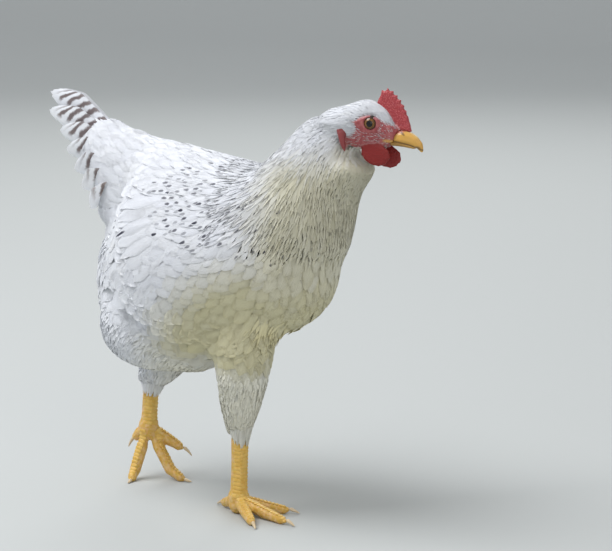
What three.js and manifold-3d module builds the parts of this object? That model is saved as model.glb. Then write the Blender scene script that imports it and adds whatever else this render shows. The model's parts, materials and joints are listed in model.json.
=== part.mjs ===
// A life-size pullet in mid stride: the right foot flat, the left foot trailing on its toes.
// Millimetres, +Z up. She faces +X, her left side is +Y, and the origin is under the middle of her box.
// Feathered parts have the outline of the plumage, and each part is a closed solid of its own.
import * as THREE from "three";
import { LoftGeometry } from "three/addons/geometries/LoftGeometry.js";
import { mergeVertices } from "three/addons/utils/BufferGeometryUtils.js";
import Module from "manifold-3d";

const wasm = await Module();
wasm.setup();

// ---- Driving dimensions ----

const GAP = 0.3; // left between neighbouring parts
const FINEST = 0.05; // details below this are left out of the faces
const RIGHT = -1; // the sign of Y on her right side
const LEFT = 1;

const EYES = new THREE.Vector3(167.4, 20.6, 334); // midway between the eyeballs
const HEAD_TURN = THREE.MathUtils.degToRad(18); // towards her left
const HEAD_DROP = THREE.MathUtils.degToRad(17); // bill below the level
const EYE_RADIUS = 5.6;
const EYE_SPREAD = 10.2; // from the middle of the head to an eyeball's centre

const WING_THICKNESS = 8.5;
const TOE_RADIUS = 4.6; // at a toe's root
const CLAW_LENGTH = 11;
const PAD_RADIUS = 8; // of the pad under the toes' roots

// ---- Colours and finishes ----

const finish = (color, roughness) => new THREE.MeshStandardMaterial({ color, roughness, metalness: 0 });
const PLUMAGE = finish(0xe9e8e2, 0.85);
const FACE = finish(0xb04a4e, 0.6);
const COMB = finish(0xb8282e, 0.5);
const HORN = finish(0xe0a63a, 0.35);
const LEG = finish(0xd9a441, 0.55);
const CLAW = finish(0xcdbb98, 0.4);
const EYE = finish(0x6b4a1c, 0.1);

// ---- Shape helpers ----

const vector = (point) => (point.isVector3 ? point.clone() : new THREE.Vector3(...point));
const curveThrough = (points) => new THREE.CatmullRomCurve3(points.map(vector), false, "catmullrom", 0.5);

// A level direction that points to her left, turned with a heading in radians.
const leftOf = (heading) => new THREE.Vector3(-Math.sin(heading), Math.cos(heading), 0);

// How full a ring is at t, from 0 to 1 along a loft whose ends are domes of these shares of its length.
function fullness(t, [start, end]) {
  const dome = (s) => Math.sqrt(Math.max(0, 1 - (1 - s) ** 2));
  const least = 0.07;
  const near = start ? dome(Math.min(1, t / start)) : 1;
  const far = end ? dome(Math.min(1, (1 - t) / end)) : 1;
  return Math.max(least, near * far);
}

// A closed solid through oval rings. A station is [centre, half width, height above, depth below], and
// across(t) is the direction of a ring's width. A pear above 0 narrows the upper half of each ring.
function ovalLoft(stations, { rings = 12, sides = 16, across, domes = [0.2, 0.2], pear = 0 }) {
  const spine = curveThrough(stations.map(([centre]) => centre));
  const girth = curveThrough(stations.map(([, width, above, below]) => [width, above, below]));
  const crowding = 0.5; // how far the rings gather towards the ends
  const sections = [];
  for (let i = 0; i <= rings; i++) {
    const even = i / rings;
    const t = even + (0.5 - 0.5 * Math.cos(Math.PI * even) - even) * crowding;
    const centre = spine.getPoint(t);
    const forward = spine.getTangent(t);
    const side = across(t).addScaledVector(forward, -across(t).dot(forward)).normalize();
    const top = new THREE.Vector3().crossVectors(forward, side);
    const full = fullness(t, domes);
    const [width, above, below] = girth.getPoint(t).toArray().map((size) => size * full);
    const ring = [];
    for (let j = 0; j < sides; j++) {
      const turn = (j / sides) * Math.PI * 2;
      const up = Math.sin(turn);
      const narrow = 1 - pear * Math.max(0, up) ** 2;
      const point = centre.clone().addScaledVector(side, Math.cos(turn) * width * narrow);
      ring.push(point.addScaledVector(top, up * (up > 0 ? above : below)));
    }
    sections.push(ring);
  }
  return solidOf(new LoftGeometry(sections, { capStart: true, capEnd: true }));
}

// A geometry's merged vertices and its faces, without those that have no area.
function welded(geometry) {
  const bare = new THREE.BufferGeometry();
  bare.setAttribute("position", geometry.attributes.position);
  bare.setIndex(geometry.index);
  const merged = mergeVertices(bare, 1e-4);
  const faces = [];
  for (let i = 0; i < merged.index.count; i += 3) {
    const [a, b, c] = [0, 1, 2].map((k) => merged.index.getX(i + k));
    if (a !== b && b !== c && c !== a) faces.push(a, b, c);
  }
  merged.setIndex(faces);
  return merged;
}

function solidOf(geometry) {
  const { attributes, index } = welded(geometry);
  const vertProperties = Float32Array.from(attributes.position.array);
  const solidWith = (faces) =>
    new wasm.Manifold(new wasm.Mesh({ numProp: 3, vertProperties, triVerts: Uint32Array.from(faces) }));
  const faces = Array.from(index.array);
  const made = solidWith(faces);
  const insideOut = made.volume() < 0;
  return insideOut ? solidWith(faces.reverse()) : made;
}

function geometryOf(solid) {
  const { vertProperties, triVerts } = solid.getMesh();
  const made = new THREE.BufferGeometry();
  made.setAttribute("position", new THREE.BufferAttribute(Float32Array.from(vertProperties), 3));
  made.setIndex(new THREE.BufferAttribute(Uint32Array.from(triVerts), 1));
  return made;
}

// The solid with every face moved out: sharp corners move further than flat ones.
function swollen(solid, by = GAP) {
  const skin = welded(geometryOf(solid));
  skin.computeVertexNormals();
  const { index } = skin;
  const { position, normal } = skin.attributes;
  const corner = (vertex) => new THREE.Vector3().fromBufferAttribute(position, vertex);
  const outward = (vertex) => new THREE.Vector3().fromBufferAttribute(normal, vertex);
  const lean = new Float32Array(position.count).fill(1); // how far the sharpest face turns from the normal
  for (let i = 0; i < index.count; i += 3) {
    const face = [0, 1, 2].map((k) => index.getX(i + k));
    const facing = new THREE.Triangle(...face.map(corner)).getNormal(new THREE.Vector3());
    for (const vertex of face) lean[vertex] = Math.min(lean[vertex], outward(vertex).dot(facing));
  }
  for (let i = 0; i < position.count; i++) {
    const reach = by / Math.max(0.4, lean[i]);
    position.setXYZ(i, ...corner(i).addScaledVector(outward(i), reach));
  }
  return solidOf(skin);
}

// What is left of a solid beside its neighbours. Only the largest piece stays, so that no crumbs do.
function clearOf(solid, ...neighbours) {
  const cut = neighbours.reduce((left, other) => left.subtract(swollen(other)).subtract(other), solid);
  return cut.decompose().reduce((a, b) => (a.volume() > b.volume() ? a : b));
}

const joined = (solids) => solids.reduce((a, b) => a.add(b));
const placed = (solid, matrix) => solidOf(geometryOf(solid).applyMatrix4(matrix));

// ---- Trunk and neck ----

// The trunk's rings, each wider by `spare`, which is less where the body narrows to the breast.
function trunkShape(spare = 0) {
  const stations = [
    [[-98, 0, 222], 19 + spare, 30, 40],
    [[-78, 0, 212], 34 + spare * 1.4, 66, 80],
    [[-50, 0, 206], 53 + spare * 1.2, 96, 96],
    [[-18, 0, 208], 65 + spare, 95, 102],
    [[24, 0, 214], 68 + spare, 84, 92],
    [[64, 0, 218], 65 + spare, 74, 74],
    [[104, 4, 218], 57 + spare * 0.6, 61, 58],
    [[134, 9, 221], 36, 44, 39],
  ];
  return ovalLoft(stations, {
    rings: 17,
    sides: 20,
    across: () => leftOf(0),
    domes: [0.1, 0.16],
    pear: 0.16,
  });
}

// The cushion of fluff under the tail and behind the legs.
function fluffShape() {
  const stations = [
    [[-92, 0, 170], 28, 20, 36],
    [[-79, 0, 166], 41, 34, 50],
    [[-56, 0, 156], 54, 44, 52],
    [[-30, 0, 146], 54, 40, 44],
    [[-8, 0, 142], 40, 30, 30],
  ];
  return ovalLoft(stations, { rings: 8, sides: 16, across: () => leftOf(0), domes: [0.16, 0.2] });
}

function neckShape() {
  const stations = [
    [[66, 0, 220], 60, 64, 58],
    [[90, 3, 248], 54, 55, 60],
    [[107, 8, 276], 44, 40, 48],
    [[119, 13, 300], 30, 33, 38],
    [[129, 15, 320], 21, 26, 25],
    [[138, 14, 336], 17, 16, 14],
  ];
  return ovalLoft(stations, {
    rings: 10,
    sides: 18,
    across: (t) => leftOf(HEAD_TURN * t),
    domes: [0.2, 0.2],
  });
}

// ---- Head, in a frame of its own: +X along the bill, the origin midway between the eyes ----

const headFrame = new THREE.Matrix4()
  .makeTranslation(EYES)
  .multiply(new THREE.Matrix4().makeRotationZ(HEAD_TURN))
  .multiply(new THREE.Matrix4().makeRotationY(HEAD_DROP));
const alongHead = () => leftOf(0);

function headShape() {
  const stations = [
    [[-46, 0, -18], 18, 12, 20],
    [[-34, 0, -8], 19, 12.5, 20],
    [[-20, 0, -4], 18, 14, 22],
    [[-8, 0, -2], 15.5, 14.4, 24],
    [[3, 0, -3], 13.2, 14.2, 21],
    [[13, 0, -4.5], 10.8, 10.8, 14.5],
    [[24, 0, -6], 7.6, 6, 7.6],
  ];
  return ovalLoft(stations, { rings: 10, sides: 16, across: alongHead, domes: [0.3, 0.14] });
}

function upperBill() {
  const stations = [
    [[17, 0, -8], 7.6, 6.8, 2.6],
    [[26, 0, -6], 6.2, 8, 2.4],
    [[33, 0, -5.4], 4.7, 7.2, 2.3],
    [[39, 0, -6.2], 3.1, 4.9, 2.1],
    [[42.6, 0, -8.4], 1.6, 2.4, 1.6],
    [[44.3, 0, -10.6], 0.7, 0.9, 0.8],
  ];
  return ovalLoft(stations, { rings: 8, sides: 10, across: alongHead, domes: [0.15, 0.1] });
}

function lowerBill() {
  const stations = [
    [[15, 0, -11.6], 6.6, 1.6, 3.2],
    [[25, 0, -9.4], 5.2, 1.2, 2.6],
    [[33, 0, -8.7], 3.4, 1.1, 1.9],
    [[38.6, 0, -9], 1.5, 0.8, 0.9],
  ];
  return ovalLoft(stations, { rings: 6, sides: 8, across: alongHead, domes: [0.15, 0.12] });
}

// The comb is a thin upright blade that climbs from the bill over the forehead. Its front edge starts out
// plain, and its points grow towards the highest of them.
function combShape() {
  const crest = new THREE.SplineCurve(
    [[31, 2.5], [27, 9], [22, 15.5], [16.5, 21], [10, 25.2], [3, 28], [-2.6, 23.5]].map(
      ([x, z]) => new THREE.Vector2(x, z),
    ),
  );
  const points = 10;
  const depth = 1.5; // of the notches between the points
  const foot = [[-3, 15], [1, 12.5], [7, 8], [13, 3], [17, -1], [25, -4], [31, -1]]; // inside the head
  const outline = new THREE.Shape(foot.map((p) => new THREE.Vector2(...p)));
  for (let i = 0; i <= points * 2; i++) {
    const share = i / (points * 2);
    const along = crest.getTangent(share);
    const out = (i % 2 ? depth : -depth) * THREE.MathUtils.smoothstep(share, 0.1, 0.5);
    const { x, y } = crest.getPoint(share);
    outline.lineTo(x + along.y * out, y - along.x * out);
  }
  const rim = 0.9;
  const blade = new THREE.ExtrudeGeometry(outline, {
    depth: 1.4,
    bevelThickness: rim,
    bevelSize: rim,
    bevelOffset: -rim,
    bevelSegments: 1,
  });
  blade.translate(0, 0, -0.7).rotateX(Math.PI / 2);
  return solidOf(blade);
}

// A flat round lobe of skin that hangs straight down from the jaw.
function lobe({ at, tall, long, thick, drop }) {
  const [x, y, z] = at;
  const stations = [
    [[x, y, z], long * 0.62, thick * 0.6, thick * 0.6],
    [[x - drop * 0.3, y, z - tall * 0.4], long, thick, thick],
    [[x - drop * 0.75, y, z - tall * 0.8], long * 0.8, thick, thick],
    [[x - drop, y, z - tall], long * 0.45, thick * 0.7, thick * 0.7],
  ];
  const ahead = () => new THREE.Vector3(1, 0, 0);
  return ovalLoft(stations, { rings: 5, sides: 10, across: ahead, domes: [0.2, 0.3] });
}

function headParts() {
  const parts = {
    beak_upper: [upperBill(), HORN],
    beak_lower: [lowerBill(), HORN],
    comb: [combShape(), COMB],
  };
  for (const [side, y] of [["right", RIGHT], ["left", LEFT]]) {
    parts[`eye_${side}`] = [
      solidOf(new THREE.SphereGeometry(EYE_RADIUS, 12, 7).translate(0, y * EYE_SPREAD, 0)),
      EYE,
    ];
    const swing = y === LEFT ? 4.5 : 0; // the left wattle hangs a little lower and further forward
    parts[`wattle_${side}`] = [
      lobe({ at: [10.5 + swing, y * 8.5, -13 - swing / 2], tall: 19, long: 13, thick: 1.8, drop: 1 }),
      COMB,
    ];
    parts[`earlobe_${side}`] = [
      lobe({ at: [-21.5, y * 17, -10], tall: 19, long: 3.6, thick: 2, drop: -11 }),
      FACE,
    ];
  }
  return parts;
}

// ---- Tail ----

// A long flat feather from root to tip. Its width lies along `wide`.
function blade(root, tip, { width, thick = 1.3, wide, arch = 0 }) {
  const [from, to] = [vector(root), vector(tip)];
  const at = (share) => {
    const point = from.clone().lerp(to, share);
    point.z += arch * Math.sin(Math.PI * share);
    return point;
  };
  const stations = [
    [at(0), width * 0.55, thick, thick],
    [at(0.45), width * 0.92, thick, thick],
    [at(0.85), width, thick * 0.8, thick * 0.8],
    [at(1), width * 0.7, thick * 0.6, thick * 0.6],
  ];
  return ovalLoft(stations, { rings: 3, sides: 6, across: () => vector(wide), domes: [0.1, 0.22] });
}

const TAIL_FEATHERS = 6; // on each side

function tailShape() {
  const base = ovalLoft(
    [
      [[-44, 0, 252], 38, 46, 42],
      [[-72, 0, 262], 36, 41, 44],
      [[-98, 0, 276], 32, 34, 44],
      [[-119, 0, 290], 25, 28, 38],
      [[-138, 0, 304], 14, 18, 22],
    ],
    { rings: 7, sides: 14, across: () => leftOf(0), domes: [0.1, 0.3] },
  );
  const feathers = [];
  for (const side of [RIGHT, LEFT]) {
    for (let i = 0; i < TAIL_FEATHERS; i++) {
      const share = i / (TAIL_FEATHERS - 1);
      const longest = i === 1 ? 7 : 0;
      const root = [-86 + 8 * share, side * (3 + 17 * share), 291 - 22 * share];
      const tip = [-173.3 - longest + 69 * share ** 1.2, side * (4 + 30 * share), 333 - 74 * share];
      const wide = [0.4, side * -0.4 * share, 1 - 0.3 * share];
      feathers.push(blade(root, tip, { width: 12.5, wide, arch: 4 }));
    }
  }
  return joined([base, ...feathers]);
}

// ---- Wings ----

// A folded wing hugs the trunk. Its outline seen from the side ends in a row of flight-feather tips.
function wingShape(side) {
  const outline = new THREE.Shape();
  const curve = (...points) => outline.splineThru(points.map(([x, z]) => new THREE.Vector2(x, z)));
  outline.moveTo(96, 234);
  curve([82, 258], [48, 272], [0, 276], [-32, 270], [-46, 258]);
  const tips = 5;
  const flight = [[-46, 258], [-39, 223], [-22, 186]]; // along the ends of the flight feathers
  const rear = new THREE.SplineCurve(flight.map((p) => new THREE.Vector2(...p)));
  for (let i = 0; i < tips; i++) {
    const end = rear.getPoint((i + 1) / tips);
    const beyond = rear.getPoint((i + 0.6) / tips);
    outline.quadraticCurveTo(beyond.x - 9, beyond.y - 3, end.x, end.y);
  }
  curve([0, 170], [38, 161], [74, 172], [94, 200], [96, 234]);
  const slab = new THREE.ExtrudeGeometry(outline, { depth: 60, bevelEnabled: false, curveSegments: 3 });
  slab.rotateX(Math.PI / 2).translate(0, side > 0 ? 90 : -30, 0);
  return solidOf(slab).intersect(trunkShape(WING_THICKNESS));
}

// ---- Legs ----

// Each leg's joints, the knuckle and tip of each of its toes, and how far fluff fills the back of the thigh.
const LEGS = {
  right: {
    knee: [79, RIGHT * 34, 156],
    hock: [54, RIGHT * 15, 76],
    ankle: [52, RIGHT * 15, 12],
    fluff: 0,
    toes: {
      inner: [[70, RIGHT * 2, 6.5], [88, RIGHT * -9, 3]],
      middle: [[78, RIGHT * 16, 7], [108, RIGHT * 18, 3]],
      outer: [[70, RIGHT * 26, 6.5], [90, RIGHT * 40, 3]],
      back: [[41, RIGHT * 12, 8], [29, RIGHT * 9, 3]],
    },
  },
  left: {
    knee: [-38, LEFT * 38, 158],
    hock: [-77, LEFT * 18, 94],
    ankle: [-82, LEFT * 19, 46],
    fluff: 8,
    toes: {
      inner: [[-86, LEFT * 6, 10], [-82, LEFT * -4, 0.4]],
      middle: [[-62, LEFT * 24, 11], [-47, LEFT * 27, 0.4]],
      outer: [[-68, LEFT * 29, 35], [-56, LEFT * 36, 26]],
      back: [[-90, LEFT * 17, 40], [-97, LEFT * 16, 32]],
    },
  },
};

function thighShape({ knee, hock, fluff }, side) {
  const [top, bottom] = [vector(knee), vector(hock)];
  const at = (share, out = 0) => {
    const point = top.clone().lerp(bottom, share);
    point.y += side * out;
    return point;
  };
  return ovalLoft(
    [
      [at(-0.25), 28, 28 + fluff, 32],
      [at(0.2), 27, 26 + fluff, 31],
      [at(0.6), 20.5, 20 + fluff, 24],
      [at(0.92), 13.5, 13.5 + fluff, 15.5],
      [at(1.22), 8.5, 9, 9.5],
    ],
    { rings: 7, sides: 14, across: () => leftOf(0), domes: [0.25, 0.12] },
  );
}

function shankShape({ hock, ankle }) {
  const [top, bottom] = [vector(hock), vector(ankle)];
  const at = (share) => top.clone().lerp(bottom, share);
  return ovalLoft(
    [
      [at(-0.1), 6.8, 7.8, 7.8],
      [at(0.08), 6.6, 7.6, 7.6],
      [at(0.35), 5.7, 6.8, 6.8],
      [at(0.7), 5.7, 6.6, 6.6],
      [at(1), 6.8, 7.2, 7.2],
    ],
    { rings: 7, sides: 10, across: () => leftOf(0), domes: [0.15, 0.1] },
  );
}

function toeShape(ankle, [knuckle, tip]) {
  const level = new THREE.Vector3().subVectors(vector(tip), vector(ankle));
  const wide = () => new THREE.Vector3(-level.y, level.x, 0).normalize();
  const size = (share) => TOE_RADIUS * share;
  return ovalLoft(
    [
      [ankle, size(1.15), size(1.1), size(1)],
      [knuckle, size(1), size(0.95), size(1.3)],
      [vector(knuckle).lerp(vector(tip), 0.5), size(0.84), size(0.8), size(1)],
      [tip, size(0.7), size(0.66), size(0.86)],
    ],
    { rings: 5, sides: 7, across: wide, domes: [0.1, 0.16] },
  );
}

function clawShape([knuckle, tip]) {
  const along = new THREE.Vector3().subVectors(vector(tip), vector(knuckle)).normalize();
  const wide = () => new THREE.Vector3(-along.y, along.x, 0).normalize();
  const at = (share, fall) => {
    const point = vector(tip).addScaledVector(along, CLAW_LENGTH * share - 2);
    point.z = Math.max(0.9 + 0.4 * (1 - share), point.z + 1.4 - fall);
    return point;
  };
  return ovalLoft(
    [
      [at(0, 0), 2.1, 2.1, 1.6],
      [at(0.45, 0.4), 1.7, 1.7, 1.2],
      [at(0.8, 1.9), 1, 1, 0.6],
      [at(1, 3.2), 0.45, 0.45, 0.3],
    ],
    { rings: 4, sides: 6, across: wide, domes: [0.1, 0.1] },
  );
}

// The toes and the pad under their roots, flattened where they press on the floor.
function footShape({ ankle, toes }) {
  const [x, y, z] = ankle;
  const pad = new THREE.SphereGeometry(PAD_RADIUS, 12, 8).rotateX(Math.PI / 2).translate(x, y, z - 4.5);
  const whole = joined([solidOf(pad), ...Object.values(toes).map((toe) => toeShape(ankle, toe))]);
  return whole.trimByPlane([0, 0, 1], 0);
}

// ---- The whole bird ----

const hen = new THREE.Group();

function show(name, solid, material) {
  const mesh = new THREE.Mesh(geometryOf(solid.simplify(FINEST)), material);
  mesh.name = name;
  hen.add(mesh);
}

const trunk = joined([trunkShape(), fluffShape()]);
const neck = neckShape();
const head = placed(headShape(), headFrame);
const fittings = Object.entries(headParts()).map(([name, [shape, material]]) => [
  name,
  placed(shape, headFrame),
  material,
]);

// The bill halves meet, and the comb, wattles and lobes grow from the head: each is cut by those before it.
const kept = [];
for (const [name, shape, material] of fittings) {
  const part = kept.length ? clearOf(shape, ...kept) : shape;
  kept.push(part);
  show(name, part, material);
}

// Head, neck and trunk flow into each other, and are parted behind the ears and over the shoulders.
const seam = (point, direction) => {
  const normal = vector(direction).normalize();
  return { normal: normal.toArray(), offset: normal.dot(vector(point)) };
};
const ahead = (solid, { normal, offset }) => solid.trimByPlane(normal, offset + GAP / 2);
const behind = (solid, { normal, offset }) => solid.trimByPlane(normal.map((n) => -n), -offset + GAP / 2);
const NAPE = seam(
  vector([-23, 0, 0]).applyMatrix4(headFrame),
  vector([1, 0, 0.12]).transformDirection(headFrame),
);
const NECK_BASE = seam([74, 0, 282], [0.73, 0, 0.68]);

const face = ahead(head, NAPE);
show("head", clearOf(face, ...kept), PLUMAGE);
const throat = ahead(joined([trunk, neck, behind(head, NAPE)]), NECK_BASE);
show("neck", clearOf(throat, face, ...kept), PLUMAGE);
show("trunk", clearOf(behind(joined([trunk, neck]), NECK_BASE)), PLUMAGE);
show("tail", clearOf(tailShape(), trunk), PLUMAGE);

for (const [side, sign] of [["right", RIGHT], ["left", LEFT]]) {
  const leg = LEGS[side];
  const wing = wingShape(sign);
  const shank = shankShape(leg);
  const foot = footShape(leg);
  const claws = Object.entries(leg.toes).map(([toe, places]) => [toe, clawShape(places)]);
  show(`wing_${side}`, clearOf(wing, trunk, neck), PLUMAGE);
  show(`thigh_${side}`, clearOf(thighShape(leg, sign), trunk, shank, wing), PLUMAGE);
  show(`shank_${side}`, clearOf(shank, trunk, foot), LEG);
  show(`foot_${side}`, clearOf(foot, ...claws.map(([, claw]) => claw)), LEG);
  for (const [toe, claw] of claws) show(`claw_${toe}_${side}`, claw, CLAW);
}

// The origin goes under the middle of the box.
const box = new THREE.Box3().setFromObject(hen, true);
const middle = box.getCenter(new THREE.Vector3());
hen.position.set(-middle.x, -middle.y, -box.min.z);

export default new THREE.Group().add(hen);
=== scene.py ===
"""A white pullet in mid stride, still and life size. Metres, +Z up; she faces +X, her left is +Y."""
import json
import math

import bmesh
import bpy
import numpy as np
from mathutils import Matrix, Vector
from mathutils.bvhtree import BVHTree
from mathutils.kdtree import KDTree

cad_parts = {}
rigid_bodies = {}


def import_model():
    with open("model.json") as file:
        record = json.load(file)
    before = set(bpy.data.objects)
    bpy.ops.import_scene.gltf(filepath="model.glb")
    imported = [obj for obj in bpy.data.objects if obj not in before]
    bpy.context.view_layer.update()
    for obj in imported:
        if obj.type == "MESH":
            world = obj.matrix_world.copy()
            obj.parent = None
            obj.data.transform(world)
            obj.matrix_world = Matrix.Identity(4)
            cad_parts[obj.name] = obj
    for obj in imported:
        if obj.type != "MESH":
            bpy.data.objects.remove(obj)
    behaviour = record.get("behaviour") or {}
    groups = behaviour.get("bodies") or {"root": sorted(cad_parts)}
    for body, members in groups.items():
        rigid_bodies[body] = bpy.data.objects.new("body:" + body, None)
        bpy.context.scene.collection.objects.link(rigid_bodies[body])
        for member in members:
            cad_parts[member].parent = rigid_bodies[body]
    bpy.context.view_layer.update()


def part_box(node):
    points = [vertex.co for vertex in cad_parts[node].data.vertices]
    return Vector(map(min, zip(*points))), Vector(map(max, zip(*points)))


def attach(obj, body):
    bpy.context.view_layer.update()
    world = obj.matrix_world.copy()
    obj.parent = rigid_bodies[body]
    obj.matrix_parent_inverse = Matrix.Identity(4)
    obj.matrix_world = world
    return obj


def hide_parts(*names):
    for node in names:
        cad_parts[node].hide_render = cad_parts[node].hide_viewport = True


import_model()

MM = 0.001
RIGHT, LEFT = "right", "left"
SIDES = {RIGHT: -1, LEFT: 1}

# ---- Sizes, in millimetres unless they say otherwise ----

HEAD_TURN = math.radians(18)  # towards her left
HEAD_DROP = math.radians(17)  # bill below the level
HEAD_REACH = 45  # from the middle of the head, beyond its bare face
EYE_RADIUS = 5.9
IRIS_RADIUS = 4.7
PUPIL_RADIUS = 2.6
CORNEA_RADIUS = 3.6
CORNEA_BULGE = 0.35
EYE_WAY = (0.12, 0.05)  # how far the right and left eyes look forward and up
LID_RADIUS = 5.7
LID_PLACE = 13.2  # from the middle of the head
LID_THICKNESS = 1.0
SKIN_VOXEL = 0.9
SKIN_KEPT = 0.25  # of its faces, fewest where the coat hides them
PLUMAGE_VOXEL = 2.5
FACE_VOXEL = 1.0
BILL_VOXEL = 0.5
CLAW_VOXEL = 0.35
FIELD_SPACING, FIELD_MARGIN = 5.0, 24  # of the grid round her
FACE_SPACING, FACE_MARGIN = 1.5, 8  # of the grid round her head
VANE_THICKNESS = 0.3
SCUTE_SPACING = 3.1
SEED = 11

# ---- Camera, floor and light, in metres ----

VIEW_AZIMUTH = math.radians(40)  # from her right side towards her front
VIEW_ELEVATION = math.radians(11)
VIEW_TARGET = (0.0499, 0.056, 0.192)
VIEW_DISTANCE = 2.2
LENS, SENSOR = 155, 36  # millimetres
CHEST = (0.0, 0.0, 0.2)
LAMPS = [  # name, place, size, watts and colour
    ("key light", (-0.8, -0.9, 2.3), 1.6, 59, (0.98, 0.98, 1.0)),
    ("side light", (2.0, -1.2, 1.0), 1.6, 9, (1.0, 0.96, 0.9)),
    ("back light", (-1.2, 1.8, 1.6), 1.4, 18, (1, 1, 1)),
]
SKY_COLOUR = (0.93, 0.95, 1.0, 1)
SKY_STRENGTH = 0.62
PAPER_COLOUR = (0.46, 0.48, 0.47, 1)
PAPER_NEAR, PAPER_DEPTH, PAPER_HALF, PAPER_RISE, PAPER_BEND = -3.5, 4.0, 6.0, 5.0, 1.2
BEND_STEPS = 16


def link(name, data):
    piece = bpy.data.objects.new(name, data)
    bpy.context.scene.collection.objects.link(piece)
    return piece


def make_camera():
    """Stands in front of her right side, a little above her back, with a long lens."""
    level = math.cos(VIEW_ELEVATION)
    back = Vector((
        math.sin(VIEW_AZIMUTH) * level, -math.cos(VIEW_AZIMUTH) * level, math.sin(VIEW_ELEVATION)
    ))
    data = bpy.data.cameras.new("Camera")
    data.lens, data.sensor_width = LENS, SENSOR
    camera = link("Camera", data)
    camera.location = Vector(VIEW_TARGET) + back * VIEW_DISTANCE
    camera.rotation_euler = (-back).to_track_quat("-Z", "Y").to_euler()
    bpy.context.scene.camera = camera


def make_lights():
    for name, place, size, power, colour in LAMPS:
        data = bpy.data.lights.new(name, "AREA")
        data.size, data.energy, data.color = size, power, colour
        lamp = link(name, data)
        lamp.location = place
        lamp.rotation_euler = (Vector(place) - Vector(CHEST)).to_track_quat("Z", "Y").to_euler()
    world = bpy.data.worlds.new("Soft sky")
    world.use_nodes = True
    sky = world.node_tree.nodes["Background"].inputs
    sky["Color"].default_value = SKY_COLOUR
    sky["Strength"].default_value = SKY_STRENGTH
    bpy.context.scene.world = world


def make_floor():
    """One pale sheet that curves up behind her, as in a studio."""
    back_to = Vector((-math.sin(VIEW_AZIMUTH), math.cos(VIEW_AZIMUTH), 0))
    across = Vector((back_to.y, -back_to.x, 0))
    level_end = PAPER_DEPTH - PAPER_BEND
    profile = [(PAPER_NEAR, 0.0), (level_end, 0.0)]
    for i in range(1, BEND_STEPS + 1):
        turn = i / BEND_STEPS * math.pi / 2
        profile.append((level_end + PAPER_BEND * math.sin(turn), PAPER_BEND - PAPER_BEND * math.cos(turn)))
    profile.append((PAPER_DEPTH, PAPER_RISE))
    verts = [
        back_to * away + across * side + Vector((0, 0, up))
        for away, up in profile
        for side in (-PAPER_HALF, PAPER_HALF)
    ]
    faces = [(2 * i, 2 * i + 1, 2 * i + 3, 2 * i + 2) for i in range(len(profile) - 1)]
    mesh = bpy.data.meshes.new("floor")
    mesh.from_pydata(verts, [], faces)
    shade_smooth(mesh)
    floor = link("floor", mesh)
    material = bpy.data.materials.new("floor paper")
    material.use_nodes = True
    shader = material.node_tree.nodes["Principled BSDF"]
    shader.inputs["Base Color"].default_value = PAPER_COLOUR
    shader.inputs["Roughness"].default_value = 0.9
    mesh.materials.append(material)


# ---- Mesh helpers ----


def in_mm(points):
    """x, y and z of points, in millimetres."""
    return np.moveaxis(points / MM, -1, 0)


def read(line, places):
    """The second values of a line of pairs, at places among its first ones."""
    return np.interp(places, *np.array(line).T)


def smooth_step(low, high, values):
    share = np.clip((values - low) / (high - low), 0, 1)
    return share * share * (3 - 2 * share)


def going(start_and_change, share):
    """A value, place or way that goes from its start by a share of its change."""
    start, change = start_and_change
    return np.array(start, dtype=float) + np.array(change, dtype=float) * share


def unit(vectors):
    return vectors / np.maximum(np.linalg.norm(vectors, axis=-1, keepdims=True), 1e-12)


def points_of(mesh):
    values = np.empty(len(mesh.vertices) * 3)
    mesh.vertices.foreach_get("co", values)
    return values.reshape(-1, 3)


def move_points(mesh, points):
    mesh.vertices.foreach_set("co", points.ravel())
    mesh.update()


def edges_of(mesh):
    values = np.empty(len(mesh.edges) * 2, dtype=np.int32)
    mesh.edges.foreach_get("vertices", values)
    return values.reshape(-1, 2)


def tree_of(mesh):
    return BVHTree.FromPolygons([v.co for v in mesh.vertices], [p.vertices[:] for p in mesh.polygons])


def shade_smooth(mesh):
    mesh.polygons.foreach_set("use_smooth", [True] * len(mesh.polygons))


def mark(mesh, label, values):
    """Keeps a value at each point of the mesh, for its material."""
    mesh.attributes.new(label, "FLOAT", "POINT").data.foreach_set("value", values)


def as_mesh(name, shape):
    """The shape as a mesh. The shape is freed."""
    mesh = bpy.data.meshes.new(name)
    shape.to_mesh(mesh)
    shape.free()
    return mesh


def relaxed(values, edges, rounds, share=0.5):
    """The values moved towards the mean of their neighbours, some rounds over."""
    count = len(values)
    degree = np.maximum(np.bincount(edges.ravel(), minlength=count), 1)[:, None]
    share = np.asarray(share, dtype=float).reshape(-1, 1)
    a, b = edges[:, 0], edges[:, 1]
    for _ in range(rounds):
        total = np.stack(
            [
                np.bincount(a, values[b, k], count) + np.bincount(b, values[a, k], count)
                for k in range(values.shape[1])
            ],
            axis=1,
        )
        values = values + (total / degree - values) * share
    return values


def evaluated(piece):
    """A plain mesh of the piece with its modifiers in it. The modifiers are removed."""
    graph = bpy.context.evaluated_depsgraph_get()
    mesh = bpy.data.meshes.new_from_object(piece.evaluated_get(graph))
    old = piece.data
    piece.modifiers.clear()
    piece.data = mesh
    bpy.data.meshes.remove(old)
    return mesh


def joined_copy(name, nodes, extras=(), grow=0.3):
    """One object of merged copies of CAD nodes and of extra meshes, each a little swollen."""
    whole = bmesh.new()
    for source in [bpy.data.objects[node].data for node in nodes] + list(extras):
        part = bmesh.new()
        part.from_mesh(source)
        bmesh.ops.remove_doubles(part, verts=part.verts, dist=1e-6)
        part.normal_update()
        for vertex in part.verts:
            vertex.co += vertex.normal * grow * MM
        scratch = as_mesh("scratch", part)
        whole.from_mesh(scratch)
        bpy.data.meshes.remove(scratch)
    mesh = as_mesh(name, whole)
    mesh.materials.clear()
    return link(name, mesh)


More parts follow.
